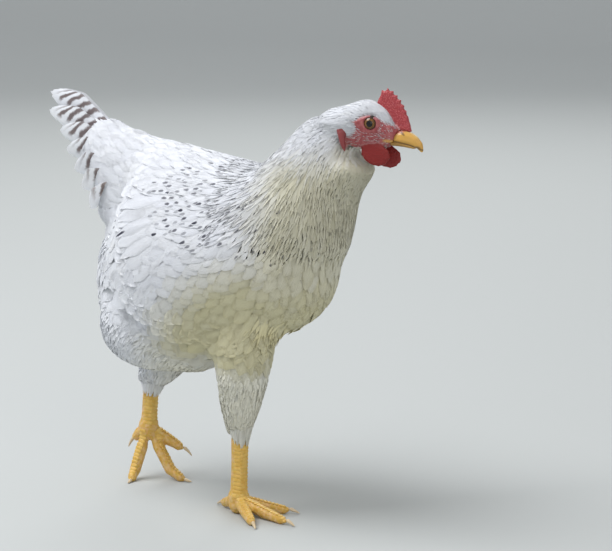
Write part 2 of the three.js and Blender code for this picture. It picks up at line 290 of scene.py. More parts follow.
def remesh(piece, voxel):
    modifier = piece.modifiers.new("remesh", "REMESH")
    modifier.mode = "VOXEL"
    modifier.voxel_size = voxel * MM
    return evaluated(piece)


def oval_mesh(centre, radii, forward=(1, 0, 0), up=(0, 0, 1), segments=24):
    """An ellipsoid, with its radii along forward, sideways and up."""
    shape = bmesh.new()
    bmesh.ops.create_uvsphere(shape, u_segments=segments, v_segments=segments // 2, radius=1)
    ahead = Vector(forward).normalized()
    aside = Vector(up).cross(ahead).normalized()
    turn = Matrix((ahead, aside, ahead.cross(aside))).transposed().to_4x4()
    scale = Matrix.Diagonal((*[r * MM for r in radii], 1))
    bmesh.ops.transform(
        shape, matrix=Matrix.Translation(Vector(centre) * MM) @ turn @ scale, verts=shape.verts
    )
    return as_mesh("oval", shape)


# ---- Her head's own frame: +X along the bill, the origin midway between the eyes, in millimetres ----


def middle_of(node):
    low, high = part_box(node)
    return (low + high) / 2


EYE_PLACES = {side: middle_of(f"eye_{side}") for side in SIDES}
HEAD = (
    Matrix.Translation((EYE_PLACES[RIGHT] + EYE_PLACES[LEFT]) / 2)
    @ Matrix.Rotation(HEAD_TURN, 4, "Z")
    @ Matrix.Rotation(HEAD_DROP, 4, "Y")
    @ Matrix.Diagonal((MM, MM, MM, 1))
)
TO_HEAD = HEAD.inverted()
HEAD_ARRAY = np.array(TO_HEAD)


def in_head(points):
    """Points of the bird, in the head's frame."""
    return points @ HEAD_ARRAY[:3, :3].T + HEAD_ARRAY[:3, 3]


def on_head(x, y, z):
    """A place in the head's frame, as a place of the bird in millimetres."""
    return (HEAD @ Vector((x, y, z))) / MM


def head_way(x, y, z):
    return (HEAD.to_3x3() @ Vector((x, y, z))).normalized()


# ---- The outer surface of the plumage, as heights on a grid ----


class Heights:
    """How far points stand above a closed surface, for many points at once."""

    def __init__(self, piece, spacing, margin):
        self.piece = piece
        mesh = piece.data
        points = points_of(mesh)
        self.spacing = spacing * MM
        self.low = points.min(0) - margin * MM
        shape = np.ceil((points.max(0) + margin * MM - self.low) / self.spacing).astype(int) + 1
        tree = tree_of(mesh)
        axes = [self.low[k] + np.arange(shape[k]) * self.spacing for k in range(3)]
        grid = np.stack(np.meshgrid(*axes, indexing="ij"), axis=-1).reshape(-1, 3)
        heights = np.empty(len(grid))
        for i, place in enumerate(grid):
            near, normal, _, away = tree.find_nearest(place)
            heights[i] = math.copysign(away, (Vector(place) - near).dot(normal))
        heights = heights.reshape(shape)
        slopes = np.gradient(heights, self.spacing)
        self.values = np.stack([heights, *slopes], axis=-1)

    def at(self, points):
        """The heights of points, and the way out of the surface there."""
        place = (points - self.low) / self.spacing
        cell = np.clip(np.floor(place).astype(int), 0, np.array(self.values.shape[:3]) - 2)
        share = np.clip(place - cell, 0, 1)
        total = 0
        for corner in np.ndindex(2, 2, 2):
            weight = np.prod(np.where(corner, share, 1 - share), axis=-1, keepdims=True)
            total = total + self.values[tuple(np.moveaxis(cell + corner, -1, 0))] * weight
        return total[..., 0], unit(total[..., 1:])

    def moved_to(self, points, height):
        """Points moved straight out or in to a height above the surface."""
        for _ in range(3):
            now, out = self.at(points)
            points = points - (now - height)[..., None] * out
        return points


# ---- How the feathers lie ----

# Each row: where on her (millimetres), which way the feathers point there, how long and wide they are,
# how far apart their roots are, and how deep under the surface of the plumage the skin lies.
HEAD_LIE = [
    ((30, 0, 6), (-1, 0, 0.6), 3.0, 1.5, 1.3, 0.6),
    ((16, 0, 16), (-1, 0, 0.5), 4.5, 2.0, 1.6, 1.0),
    ((2, 0, 16), (-1, 0, 0.1), 6.5, 2.4, 2.0, 1.6),
    ((-14, 0, 14), (-1, 0, -0.15), 8.5, 3.0, 2.4, 2.2),
    ((-32, 0, 8), (-1, 0, -0.5), 12, 3.6, 3.0, 3.4),
    ((10, 11, 7), (-1, 0.1, 0.35), 3.5, 1.6, 1.4, 0.6),
    ((0, 15, 8), (-1, 0.1, 0.15), 5.0, 2.0, 1.6, 1.0),
    ((-14, 17, 2), (-1, 0, -0.2), 7.0, 2.6, 2.2, 1.8),
    ((-28, 18, -4), (-0.8, 0, -0.7), 11, 3.2, 2.8, 3.0),
    ((-20, 18, -22), (-0.35, 0.1, -1), 13, 3.4, 2.8, 3.2),
    ((-6, 14, -30), (-0.1, 0.1, -1), 13, 3.2, 2.8, 3.0),
    ((4, 0, -34), (0.1, 0, -1), 12, 3.2, 2.8, 3.0),
    ((-16, 17, -9), (-1, 0.15, -0.45), 6.0, 1.6, 1.2, 1.2),
]
BODY_LIE = [
    ((96, 0, 338), (-0.75, 0, -0.6), 18, 4.6, 3.8, 5),
    ((84, -12, 318), (-0.7, -0.1, -0.75), 24, 5.0, 4.4, 6),
    ((106, -14, 312), (-0.45, -0.1, -0.9), 22, 4.0, 3.6, 5),
    ((122, -10, 300), (-0.2, -0.05, -1), 22, 3.8, 3.6, 5),
    ((66, -10, 304), (-0.8, -0.1, -0.55), 32, 7.0, 5.5, 7),
    ((80, -34, 286), (-0.6, -0.25, -0.8), 30, 6.0, 5.0, 7),
    ((108, -34, 276), (-0.25, -0.2, -1), 28, 5.5, 4.8, 7),
    ((128, 6, 276), (0, 0, -1), 25, 5.0, 4.6, 7),
    ((48, -8, 298), (-0.97, 0, -0.2), 34, 11, 7.0, 8),
    ((52, -42, 276), (-0.85, -0.15, -0.5), 32, 9, 5.6, 8),
    ((24, -50, 270), (-0.95, -0.03, -0.25), 32, 10, 6.2, 8),
    ((66, -56, 248), (-0.75, -0.15, -0.65), 32, 9, 6.0, 8),
    ((100, -48, 246), (-0.4, -0.2, -0.9), 28, 11, 7.5, 8),
    ((124, 8, 246), (-0.05, 0, -1), 26, 11, 7.5, 8),
    ((112, -28, 215), (-0.5, -0.15, -0.85), 27, 13, 8.0, 9),
    ((122, 8, 212), (-0.25, 0, -1), 27, 13, 8.0, 9),
    ((80, -60, 208), (-0.85, -0.1, -0.5), 28, 14, 8.5, 9),
    ((96, 6, 172), (-0.9, 0, -0.5), 28, 14, 8.5, 9),
    ((52, -50, 164), (-0.9, 0, -0.4), 28, 14, 8.5, 9),
    ((30, 0, 128), (-1, 0, -0.1), 26, 13, 8.5, 9),
    ((0, 0, 303), (-1, 0, 0.0), 34, 14, 8.5, 8),
    ((-44, 0, 298), (-1, 0, 0.1), 34, 14, 8.5, 8),
    ((-40, -30, 284), (-0.97, -0.05, -0.1), 32, 14, 8.5, 8),
    ((-74, 0, 296), (-0.9, 0, 0.35), 32, 13, 8.0, 7),
    ((-100, -8, 300), (-0.85, 0, 0.5), 32, 12, 7.5, 6),
    ((-100, -26, 268), (-0.9, -0.1, 0.35), 32, 12, 7.5, 7),
    ((-104, -6, 246), (-0.8, 0, 0.55), 30, 12, 7.5, 7),
    ((0, -72, 250), (-0.95, -0.02, -0.25), 30, 15, 9.0, 8),
    ((30, -72, 225), (-0.93, -0.02, -0.35), 28, 15, 9.0, 8),
    ((0, -74, 205), (-0.9, 0, -0.42), 30, 16, 9.5, 8),
    ((-50, -68, 240), (-0.9, 0, -0.4), 32, 16, 9.5, 8),
    ((-40, -68, 200), (-0.85, 0, -0.5), 30, 16, 9.5, 8),
    ((-112, -20, 214), (-0.5, 0, -0.85), 28, 12, 7.5, 8),
    ((-108, -22, 170), (-0.4, 0, -0.95), 26, 11, 7.0, 9),
    ((-80, -44, 150), (-0.5, 0, -0.85), 26, 11, 7.0, 9),
    ((-40, -56, 140), (-0.75, 0, -0.6), 26, 12, 7.5, 9),
    ((-70, 0, 112), (-0.7, 0, -0.6), 24, 11, 7.0, 8),
    ((66, -62, 155), (-0.5, 0, -0.85), 22, 11, 7.0, 6),
    ((86, -36, 130), (-0.3, 0, -0.95), 20, 9, 6.0, 5),
    ((56, -42, 118), (-0.3, 0, -0.95), 18, 8, 5.5, 5),
    ((44, -22, 88), (-0.1, 0, -1), 18, 5.5, 3.8, 2.5),
    ((38, -16, 70), (0, 0, -1), 15, 4.5, 2.8, 1.4),
    ((-62, 44, 130), (-0.4, 0, -0.9), 20, 9, 6.0, 6),
    ((-86, 24, 98), (-0.3, 0, -0.95), 20, 6, 4.2, 3),
    ((-94, 19, 84), (-0.1, 0, -1), 15, 4.5, 2.8, 1.4),
]
LENGTH, WIDTH, SPACING, DEPTH = 3, 4, 5, 6  # columns of the facts, after the three parts of the way
LIE_SOFTNESS = 4
LIE_BATCH = 20000


class Lie:
    """The way, length, width, spacing and depth of the feathers anywhere on her, blended from the rows."""

    def __init__(self):
        places, facts = [], []
        turn = HEAD.to_3x3()
        for rows, place_of, way_of in (
            (HEAD_LIE, on_head, lambda way: turn @ way),
            (BODY_LIE, lambda *place: place, lambda way: way),
        ):
            for (x, y, z), way, *sizes in rows:
                for sign in (1, -1):
                    places.append(place_of(x, y * sign, z))
                    facing = way_of(Vector((way[0], way[1] * sign, way[2])))
                    facts.append([*facing.normalized(), *sizes])
        self.places = np.array(places) * MM
        self.facts = np.array(facts)

    def at(self, points):
        flat = points.reshape(-1, 3)
        blended = np.empty((len(flat), self.facts.shape[1]))
        for start in range(0, len(flat), LIE_BATCH):
            part = flat[start : start + LIE_BATCH]
            away = ((part[:, None] - self.places[None]) ** 2).sum(-1) + (LIE_SOFTNESS * MM) ** 2
            weight = away**-2.0
            blended[start : start + LIE_BATCH] = weight @ self.facts / weight.sum(1)[:, None]
        blended[:, :3] = unit(blended[:, :3])
        return blended.reshape(*points.shape[:-1], -1)


# ---- Skin ----

FEATHERED = ["head", "neck", "trunk"] + [f"{part}_{side}" for part in ("wing", "thigh") for side in SIDES]
BARE = ["comb"] + [f"{part}_{side}" for part in ("wattle", "earlobe", "shank", "foot") for side in SIDES]

# Lines of the folded wing and of the flank, seen from the side: x and z, but z and x for WING_BACK.
WING_TOP = [(-62, 260), (-48, 270), (-16, 279), (32, 276), (66, 268), (84, 262)]
WING_LOW = [(-40, 187), (-16, 166), (10, 155), (40, 148), (62, 149), (84, 160)]
WING_BACK = [(186, -37), (204, -45), (221, -53), (238, -58), (262, -62)]
WING_FRONT = 84
WING_THICKNESS = 8.5
TRUNK_HALF = 66
FLUFF_EDGE = [  # where the vanes of the flank end over the fluff
    (-120, 215), (-80, 206), (-30, 191), (-10, 164), (13, 153), (36, 162), (56, 172), (77, 170), (92, 158),
    (106, 130),
]
TAIL_WAY = (-0.87, 0, 0.5)
TAIL_ROOT = [  # the middle and radii of each oval of the tail's fleshy root
    ((-74, 0, 263), (42, 32, 41)), ((-100, 0, 272), (34, 30, 38)), ((-122, 0, 286), (28, 22, 30)),
    ((-96, 0, 243), (32, 33, 27)),
]
ANKLES = {RIGHT: (36, -15, 13.5), LEFT: (-98, 19, 46)}
ANKLE_RADII = (8.6, 8.0, 8.6)
THIGH_TOP = (60, 50, 158)  # where the flank runs smoothly into the right thigh
THROAT = (119, 13)  # the middle of the neck there
THROAT_REACH = 30
THROAT_FLUFF = 12  # how far its feathers stand out
CROWN_HALF_WIDTH = 30
NAPE_DROP = 4.5
CROWN_LIFT = 3.3

# Lines round the bare face, on her head: x and z, but z and x for its rear, and x and y for the crown.
BROW = [
    (-24, -8), (-20, -4), (-13, -2), (-8.6, 2.4), (-5, 5), (-2.5, 6.2), (2, 6.6), (7, 6), (11, 4.6),
    (18, 3.8), (24, 4.6), (30, 6),
]
JAW = [(-24, -22), (-20, -26), (-14, -28), (0, -27), (10, -24), (24, -20)]
FACE_REAR = [(-29, -17), (-20, -23), (-9, -26)]
CROWN = [(-30, 5), (8, 5), (15, -3)]
MOUTH = [(12, -10.6), (18, -9.2), (30, -8)]
FACE_MIDDLE = (-4, 0, -6)
EAR_TUFT = ((-16.5, -9.4), (7.2, 6.6))  # the middle and half sizes of the white tuft over the ear


def tail_root():
    """The fleshy root of the tail under its coverts."""
    return [oval_mesh(centre, radii, forward=TAIL_WAY) for centre, radii in TAIL_ROOT]


def eye_way(side):
    return head_way(EYE_WAY[0], SIDES[side], EYE_WAY[1])


def lids(around=32, tube=10):
    """A soft ring round each eye."""
    rings = []
    for side, sign in SIDES.items():
        out = eye_way(side)
        above = out.cross(head_way(1, 0, 0)).normalized()
        ahead = above.cross(out)
        centre = on_head(0, sign * LID_PLACE, 0)
        ring = bmesh.new()
        grid = []
        for i in range(around):
            turn = i / around * 2 * math.pi
            spoke = ahead * math.cos(turn) * 1.08 + above * math.sin(turn)
            grid.append([])
            for j in range(tube):
                roll = j / tube * 2 * math.pi
                offset = spoke * math.cos(roll) * LID_THICKNESS + out * math.sin(roll) * LID_THICKNESS
                grid[-1].append(ring.verts.new((centre + spoke * LID_RADIUS + offset) * MM))
        for i in range(around):
            for j in range(tube):
                k, m = (i + 1) % around, (j + 1) % tube
                ring.faces.new((grid[i][j], grid[k][j], grid[k][m], grid[i][m]))
        bmesh.ops.recalc_face_normals(ring, faces=ring.faces)
        rings.append(as_mesh("lid", ring))
    return rings


def bare_face(points):
    """1 where her face has no feathers and 0 where it has, with soft edges."""
    local = in_head(points)
    x, y, z = np.moveaxis(local, -1, 0)
    inside = smooth_step(-1.2, 1.2, read(BROW, x) - z) * smooth_step(-1.5, 1.5, z - read(JAW, x))
    inside *= smooth_step(-1.5, 1.5, x - read(FACE_REAR, z)) * smooth_step(38, 34, x)
    (ahead, up), (half, high) = EAR_TUFT
    inside *= smooth_step(0.85, 1.1, np.hypot((x - ahead) / half, (z - up) / high))
    crown = read(CROWN, x)
    near = np.linalg.norm(local, axis=-1) < HEAD_REACH
    return inside * smooth_step(crown - 2, crown + 2, np.abs(y)) * near


def mouth_corner(points):
    """1 along the yellow line that runs back from the bill to the corner of the mouth."""
    x, _, z = np.moveaxis(in_head(points), -1, 0)
    return smooth_step(1.5, 0.7, np.abs(z - read(MOUTH, x))) * smooth_step(12.5, 15, x)


def nearest_nodes(points, nodes, reach=8):
    """For each point, which of the CAD nodes is nearest, within reach of its box."""
    best = np.full(len(points), np.inf)
    which = np.zeros(len(points), dtype=int)
    for index, node in enumerate(nodes):
        tree = tree_of(bpy.data.objects[node].data)
        low, high = [np.array(corner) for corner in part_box(node)]
        close = ((points > low - reach * MM) & (points < high + reach * MM)).all(1)
        for i in np.flatnonzero(close):
            away = tree.find_nearest(points[i])[3]
            if away < best[i]:
                best[i], which[i] = away, index
    return which


def widened_trunk():
    """A copy of the trunk as wide as it is with the folded wings on it."""
    mesh = bpy.data.objects["trunk"].data.copy()
    points = points_of(mesh) / MM
    x, y, z = points.T
    share = smooth_step(97, 62, x) * smooth_step(112, 150, z) * smooth_step(-104, -56, x)
    points[:, 1] = y * (1 + share * WING_THICKNESS / TRUNK_HALF)
    move_points(mesh, points * MM)
    return mesh


def fluffed_throat(points):
    """Points of the plumage's surface with the feathers of the throat standing out under the wattles."""
    x, y, z = in_mm(points)
    ahead, aside = x - THROAT[0], y - THROAT[1]
    turn = np.arctan2(aside, ahead)
    share = smooth_step(-0.1, 0.8, np.cos(turn - HEAD_TURN))
    share *= smooth_step(273, 290, z) * smooth_step(306, 295, z)
    share *= np.hypot(ahead, aside) < THROAT_REACH
    out = np.stack([np.cos(turn), np.sin(turn), np.zeros(len(turn))], axis=1)
    return points + out * (share * THROAT_FLUFF * MM)[:, None]


def sleek_crown(points):
    """Points of the plumage's surface with the nape sleek and the crown full above the eyes."""
    x, y, z = in_head(points).T
    drop = NAPE_DROP * smooth_step(-14, -32, x) * smooth_step(-75, -48, x) * smooth_step(-20, -5, z)
    lift = CROWN_LIFT * smooth_step(-24, -8, x) * smooth_step(26, 14, x) * smooth_step(3, 9, z)
    lift *= np.abs(y) < CROWN_HALF_WIDTH
    return points + np.array(head_way(0, 0, 1)) * ((lift - drop) * MM)[:, None]


def make_envelope(name, nodes, extras):
    """The smooth outer surface of her feathered parts, as one closed shape."""
    piece = joined_copy(name, nodes, extras)
    mesh = remesh(piece, PLUMAGE_VOXEL)
    edges = edges_of(mesh)
    points = sleek_crown(fluffed_throat(relaxed(points_of(mesh), edges, 8)))
    x, y, z = in_mm(points)
    body = smooth_step(88, 112, z) * smooth_step(300, 280, z) * smooth_step(-150, -120, x)
    points = relaxed(points, edges, 45, share=0.5 * body)
    away = np.linalg.norm(np.stack([x, np.abs(y), z], axis=1) - THIGH_TOP, axis=1)
    move_points(mesh, relaxed(points, edges, 90, share=0.5 * smooth_step(48, 24, away)))
    return Heights(piece, FIELD_SPACING, FIELD_MARGIN)


def ahead_of_wing_end(points):
    """How far points lie ahead of the rear edge of a folded wing, seen from the side."""
    x, _, z = in_mm(points)
    return x - read(WING_BACK, z)


def wing_reach(points):
    """How far inside a folded wing's outline points lie, seen from the side. Less than 0 is outside it."""
    x, _, z = in_mm(points)
    upright = np.minimum(read(WING_TOP, x) - z, z - read(WING_LOW, x))
    return np.minimum(upright, np.minimum(ahead_of_wing_end(points), WING_FRONT - x))


def make_skin(body, over_wings, lie):
    """One skin over all her flesh: under the feathers it lies at the depth of the coat."""
    ankles = [oval_mesh(place, ANKLE_RADII) for place in ANKLES.values()]
    piece = joined_copy("skin", FEATHERED + BARE, tail_root() + lids() + ankles)
    mesh = remesh(piece, SKIN_VOXEL)
    edges = edges_of(mesh)
    points = relaxed(points_of(mesh), edges, 3)
    names = FEATHERED + BARE
    which = nearest_nodes(points, names)

    def belongs(*kinds):
        return np.isin(which, [names.index(node) for node in names if node.startswith(kinds)])

    legs, wattles, lobes = belongs("shank", "foot"), belongs("wattle"), belongs("earlobe")
    combs = belongs("comb", "wattle")
    bare = legs | lobes | combs
    face = bare_face(points) * ~bare
    hidden = relaxed(1 - np.maximum(bare, face)[:, None], edges, 6)[:, 0]
    depth = lie.at(points)[:, DEPTH] * MM * hidden
    sunk = body.moved_to(points, np.minimum(body.at(points)[0], 0) - depth)
    sunk = np.where(belongs("wing")[:, None], over_wings.moved_to(points, -depth), sunk)
    share = smooth_step(0.02, 0.3, hidden)[:, None]
    points = relaxed(points * (1 - share) + sunk * share, edges, 50, share=0.5 * lobes)
    points[:, 2] = np.maximum(points[:, 2], 0)
    move_points(mesh, points)
    regions = {
        "comb": combs,
        "leg": legs,
        "face": np.maximum(face, lobes),
        "wattle": wattles,
        "lobe": lobes,
        "gape": mouth_corner(points),
        # the coat's ivory on the hidden skin, partly painted shade and painted warm light reflected from
        # the ground
        "ivory_and_painted_shade": plumage_ivory_and_painted_shade(points),
        "fleck": fleck_zone(points),
    }
    for label, values in regions.items():
        mark(mesh, label, relaxed(values.astype(float)[:, None], edges, 2)[:, 0])
    group = piece.vertex_groups.new(name="plain")
    plain = np.clip(hidden * 1.2, 0, 1)
    for i in np.flatnonzero(plain > 0.02):
        group.add([int(i)], float(plain[i]), "REPLACE")
    thin = piece.modifiers.new("fewer faces", "DECIMATE")
    thin.ratio = SKIN_KEPT
    thin.vertex_group = "plain"
    thin.vertex_group_factor = 8
    shade_smooth(evaluated(piece))
    return piece


# ---- Feathers ----

# The lines that the chart of her skin follows: her own, from bill to tail, and one down each leg.
SPINE = [
    (150, 14, 336), (124, 14, 334), (100, 8, 300), (70, 2, 262), (30, 0, 214), (-20, 0, 206), (-70, 0, 215),
    (-130, 0, 290),
]
LEG_LINES = [[(66, -36, 156), (38, -15, 76)], [(-54, 38, 158), (-93, 18, 94)]]
CHART_PATCH = 0.003  # the size of one feather on the chart

# Where dark flecks are strewn, seen from the side: the middle and half sizes of each oval, and the share of
# the feathers that carry one: the cape, the lower hackle, and a few around both.
FLECK_ZONES = [((40, 266), (42, 24), 0.9), ((80, 284), (28, 20), 0.65), ((78, 262), (44, 20), 0.08)]
FLECK_BREADTH = 8  # narrower feathers carry fewer


def spread_roots(surface, lie, keep, count, seed, closer=1.0):
    """Roots over the surface, no two nearer than the lie's spacing there. keep(points) says where."""
    rng = np.random.default_rng(seed)
    mesh = surface.piece.data
    points = points_of(mesh)
    mesh.calc_loop_triangles()
    corners = np.empty(len(mesh.loop_triangles) * 3, dtype=np.int32)
    mesh.loop_triangles.foreach_get("vertices", corners)
    a, b, c = np.moveaxis(points[corners.reshape(-1, 3)], 1, 0)
    area = np.linalg.norm(np.cross(b - a, c - a), axis=1)
    middle = (a + b + c) / 3
    chance = area * keep(middle) * (1 / lie.at(middle)[:, SPACING] ** 2)
    pick = rng.choice(len(area), size=count, p=chance / chance.sum())
    u, v = rng.random((2, count, 1))
    over = u + v > 1
    u, v = np.where(over, 1 - u, u), np.where(over, 1 - v, v)
    roots = a[pick] + (b - a)[pick] * u + (c - a)[pick] * v
    spacing = lie.at(roots)[:, SPACING] * MM * closer
    tree = KDTree(count)
    for i, root in enumerate(roots):
        tree.insert(root, i)
    tree.balance()
    gone = np.zeros(count, dtype=bool)
    kept = []
    for i in range(count):
        if not gone[i]:
            kept.append(i)
            for _, near, _ in tree.find_range(roots[i], spacing[i]):
                gone[near] = True
    return roots[kept]


def nearest_on_line(line, points):
    """How near each point is to a line of joints, how far along it that is, and the offset from it."""
    line = np.array(line) * MM
    best = np.full(len(points), np.inf)
    share = np.zeros(len(points))
    offset = np.zeros_like(points)
    steps = np.linalg.norm(np.diff(line, axis=0), axis=1)
    before = np.concatenate([[0], np.cumsum(steps)])
    for i, step in enumerate(steps):
        way = (line[i + 1] - line[i]) / step
        reach = np.clip((points - line[i]) @ way, 0, step)
        gap = points - line[i] - reach[:, None] * way
        away = np.linalg.norm(gap, axis=1)
        nearer = away < best
        best = np.where(nearer, away, best)
        share = np.where(nearer, (before[i] + reach) / before[-1], share)
        offset = np.where(nearer[:, None], gap, offset)
    return best, share, offset


def unwrap(points):
    """A place for each root on a chart of her skin: round the body, and along it from bill to tail."""
    away, share, offset = nearest_on_line(SPINE, points)
    turn = np.arctan2(offset[:, 1], offset[:, 2] + offset[:, 0] * 0.4) / (2 * np.pi) + 0.5
    chart = np.stack([0.02 + 0.74 * turn, 0.02 + 0.96 * share], axis=1)
    for index, line in enumerate(LEG_LINES):
        near, share, offset = nearest_on_line(line, points)
        on_leg = (points[:, 2] < 0.12) & (near < away)
        turn = np.arctan2(offset[:, 1], offset[:, 0]) / (2 * np.pi) + 0.5
        leg_chart = np.stack([0.79 + 0.2 * turn, 0.02 + 0.48 * index + 0.45 * share], axis=1)
        chart = np.where(on_leg[:, None], leg_chart, chart)
    return chart


def vane_faces(rows, columns):
    """The corners of one closed vane: its upper grid, and an underside folded along a sunken midline."""
    grid = np.arange(rows * columns).reshape(rows, columns)
    middle = np.concatenate([[-1], rows * columns + np.arange(rows - 2)])
    quads = [
        (grid[i, j], grid[i + 1, j], grid[i + 1, j + 1], grid[i, j + 1])
        for i in range(rows - 1)
        for j in range(columns - 1)
    ]
    for i in range(1, rows - 2):
        quads.append((grid[i + 1, 0], grid[i, 0], middle[i], middle[i + 1]))
        quads.append((middle[i + 1], middle[i], grid[i, -1], grid[i + 1, -1]))
    root, tip = middle[1], middle[rows - 2]
    triangles = [(grid[1, 0], grid[0, 0], root), (grid[0, -1], grid[1, -1], root)]
    triangles += [(grid[-1, 0], grid[-2, 0], tip), (grid[-2, -1], grid[-1, -1], tip)]
    for j in range(columns - 1):
        triangles.append((grid[0, j], grid[0, j + 1], root))
        triangles.append((grid[-1, j + 1], grid[-1, j], tip))
    return np.array(quads), np.array(triangles)


def solid_vanes(name, grid, out, chart, marks):
    """Closed thin vanes from a grid of places (feather, row, column), with their charts and marks."""
    count, rows, columns, _ = grid.shape
    centre = columns // 2
    under = grid[:, 1:-1, centre] - out[:, 1:-1, centre] * VANE_THICKNESS * MM
    each = rows * columns + rows - 2
    vertices = np.concatenate([grid.reshape(count, -1, 3), under], axis=1).reshape(-1, 3)
    first = np.arange(count)[:, None, None] * each
    faces = [(first + corners[None]).reshape(-1, corners.shape[1]) for corners in vane_faces(rows, columns)]
    mesh = bpy.data.meshes.new(name)
    loops = np.concatenate([f.ravel() for f in faces])
    sizes = np.concatenate([np.full(len(f), f.shape[1]) for f in faces])
    mesh.vertices.add(len(vertices))
    mesh.vertices.foreach_set("co", vertices.ravel())
    mesh.loops.add(len(loops))
    mesh.loops.foreach_set("vertex_index", loops.astype(np.int32))
    mesh.polygons.add(len(sizes))
    starts = np.concatenate([[0], np.cumsum(sizes)[:-1]])
    mesh.polygons.foreach_set("loop_start", starts.astype(np.int32))
    mesh.update(calc_edges=True)
    across = np.concatenate([np.tile(np.linspace(0, 1, columns), rows), np.full(rows - 2, 0.5)])
    along = np.concatenate([np.repeat(np.linspace(0, 1, rows), columns), np.linspace(0, 1, rows)[1:-1]])
    place = np.stack([across, along], axis=1)[loops % each]
    vane = mesh.uv_layers.new(name="Vane")
    vane.data.foreach_set("uv", place.ravel())
    bake = mesh.uv_layers.new(name="OFBake")
    bake.data.foreach_set("uv", (chart[loops // each] + (place - 0.5) * CHART_PATCH).ravel())
    bake.active_render = True
    mesh.uv_layers.active = bake
    for label, values in marks.items():
        mark(mesh, label, np.repeat(values, each))
    shade_smooth(mesh)
    keep_rims_sharp(mesh, rows, columns)
    return link(name, mesh)


def keep_rims_sharp(mesh, rows, columns):
    """The rim of each vane stays sharp, so that its two faces are shaded apart."""
    a, b = (edges_of(mesh) % (rows * columns + rows - 2)).T
    on_top = (a < rows * columns) & (b < rows * columns)
    row_a, row_b = a // columns, b // columns
    column_a, column_b = a % columns, b % columns
    beside = (column_a == column_b) & ((column_a == 0) | (column_a == columns - 1))
    ends = (row_a == row_b) & ((row_a == 0) | (row_a == rows - 1))
    mesh.attributes.new("sharp_edge", "BOOLEAN", "EDGE").data.foreach_set("value", on_top & (beside | ends))


def vane_outline(rows, columns, rng, count, root_width, widest, tip_width, roundness, fray):
    """Shares along and across each vane: narrow at the root, widest on the way, with a frayed round tip."""
    along = (np.linspace(0, 1, rows) ** 0.85)[:, None]
    across = np.linspace(-1, 1, columns)
    places = [0, 0.25, widest, 0.85, 1]
    width = np.interp(along, places, [root_width, 0.62, 1, 0.5 + 0.5 * tip_width, tip_width])
    lengthwise = along * (1 - roundness * across**2 * along**2)
    jag = rng.uniform(-1, 1, (count, columns))
    notch = np.where(np.arange(columns) % 2, 1, -1) * 0.5
    jag = (jag + notch) * fray * (1 - 0.85 * across**2)
    lengthwise = lengthwise + jag[:, None, :] * along**10
    ripple = 1 + rng.uniform(-1, 1, (count, rows, 1)) * fray * 0.8
    return lengthwise, across * width * ripple


def plumage_ivory_and_painted_shade(roots):
    """How ivory the plumage is: most on the breast, not at all on the back. Partly her own ivory, partly
    painted shade and painted warm light reflected from the ground.
    """
    x, _, z = in_mm(roots)
    ivory_and_painted_shade = smooth_step(285, 195, z) * smooth_step(0, 70, x + 30 - 1.1 * (z - 165))
    ivory_and_painted_shade = np.maximum(ivory_and_painted_shade, 0.8 * smooth_step(170, 120, z) * smooth_step(-60, 20, x))
    ivory_and_painted_shade = np.maximum(ivory_and_painted_shade, 0.75 * smooth_step(328, 300, z) * smooth_step(78, 110, x))
    return np.clip(ivory_and_painted_shade * (1 - 0.5 * smooth_step(150, 128, z)), 0, 1)


def fleck_zone(roots):
    """How likely a feather is to carry a dark fleck."""
    x, y, z = in_mm(roots)
    zone = np.zeros(len(roots))
    for (ahead, up), (half, high), share in FLECK_ZONES:
        far = np.hypot((x - ahead) / half, (z - up) / high)
        zone = np.maximum(zone, share * smooth_step(1.25, 0.75, far))
    ridge = smooth_step(20, 8, np.abs(y)) * smooth_step(62, 46, x)
    return zone * (1 - ridge)


def plumage_marks(roots, length, width, rng, extra=None):
    """What the plumage's colours need of each feather: its ivory with painted shade and ground light, size,
    fleck and a chance of its own.
    """
    count = len(roots)
    ivory_and_painted_shade = np.clip(plumage_ivory_and_painted_shade(roots) + rng.normal(0, 0.025, count), 0, 1)
    flecked = rng.random(count) < fleck_zone(roots) * np.clip(width[:, 0] / (FLECK_BREADTH * MM), 0.5, 1)
    marks = {
        "ivory_and_painted_shade": ivory_and_painted_shade,
        "chance": rng.random(count),
        "fleck": np.where(flecked, rng.uniform(0.4, 1, count), 0),
        "reach": length[:, 0] / MM,
        "breadth": width[:, 0] / MM,
        "bars": np.zeros(count),
        "streak": np.zeros(count),
    }
    marks.update(extra or {})
    return marks


# How each kind of feather is made and laid.
VANES = dict(rows=7, columns=13, fray=0.022, roundness=0.24, tip_width=0.78, scatter=0.08)
FINE_VANES = dict(rows=5, columns=5, fray=0.05, lift=0.05, scatter=0.12, longer=1.3, roll=0.02)
HACKLE = dict(rows=8, columns=5, widest=0.5, tip_width=0.4, roundness=0.28, fray=0.06, lift=0.05,
              longer=1.35, wider=0.95, scatter=0.07, roll=0.01, cup=0.02, bury=0.6)
DOWN = dict(rows=5, columns=3, wider=1.6, sunk=0.75, root_width=0.7)
WISPS = dict(rows=5, columns=3, lift=0.5, scatter=0.3, roll=0.03, widest=0.4, tip_width=0.35, fray=0.1,
             sunk=0.5)
BRISTLES = dict(rows=5, columns=3, follow=0, lift=0.5, scatter=0.22, widest=0.3, tip_width=0.3,
                roundness=0.2, fray=0, sunk=-0.1, roll=0)
FLIGHT_VANES = dict(rows=14, columns=7, follow=0.0, scatter=0.02, widest=0.7, tip_width=0.55, roundness=0.2,
                    fray=0.015, lift=0)
FRINGE_VANES = dict(rows=7, columns=5, camber=0.12, root_width=0.5, widest=0.5, tip_width=0.4,
                    roundness=0.28, fray=0.06)
TAIL_VANES = dict(rows=26, columns=11, arch=4, root_width=0.4, widest=0.7, tip_width=0.62, roundness=0.14,
                  fray=0.012)
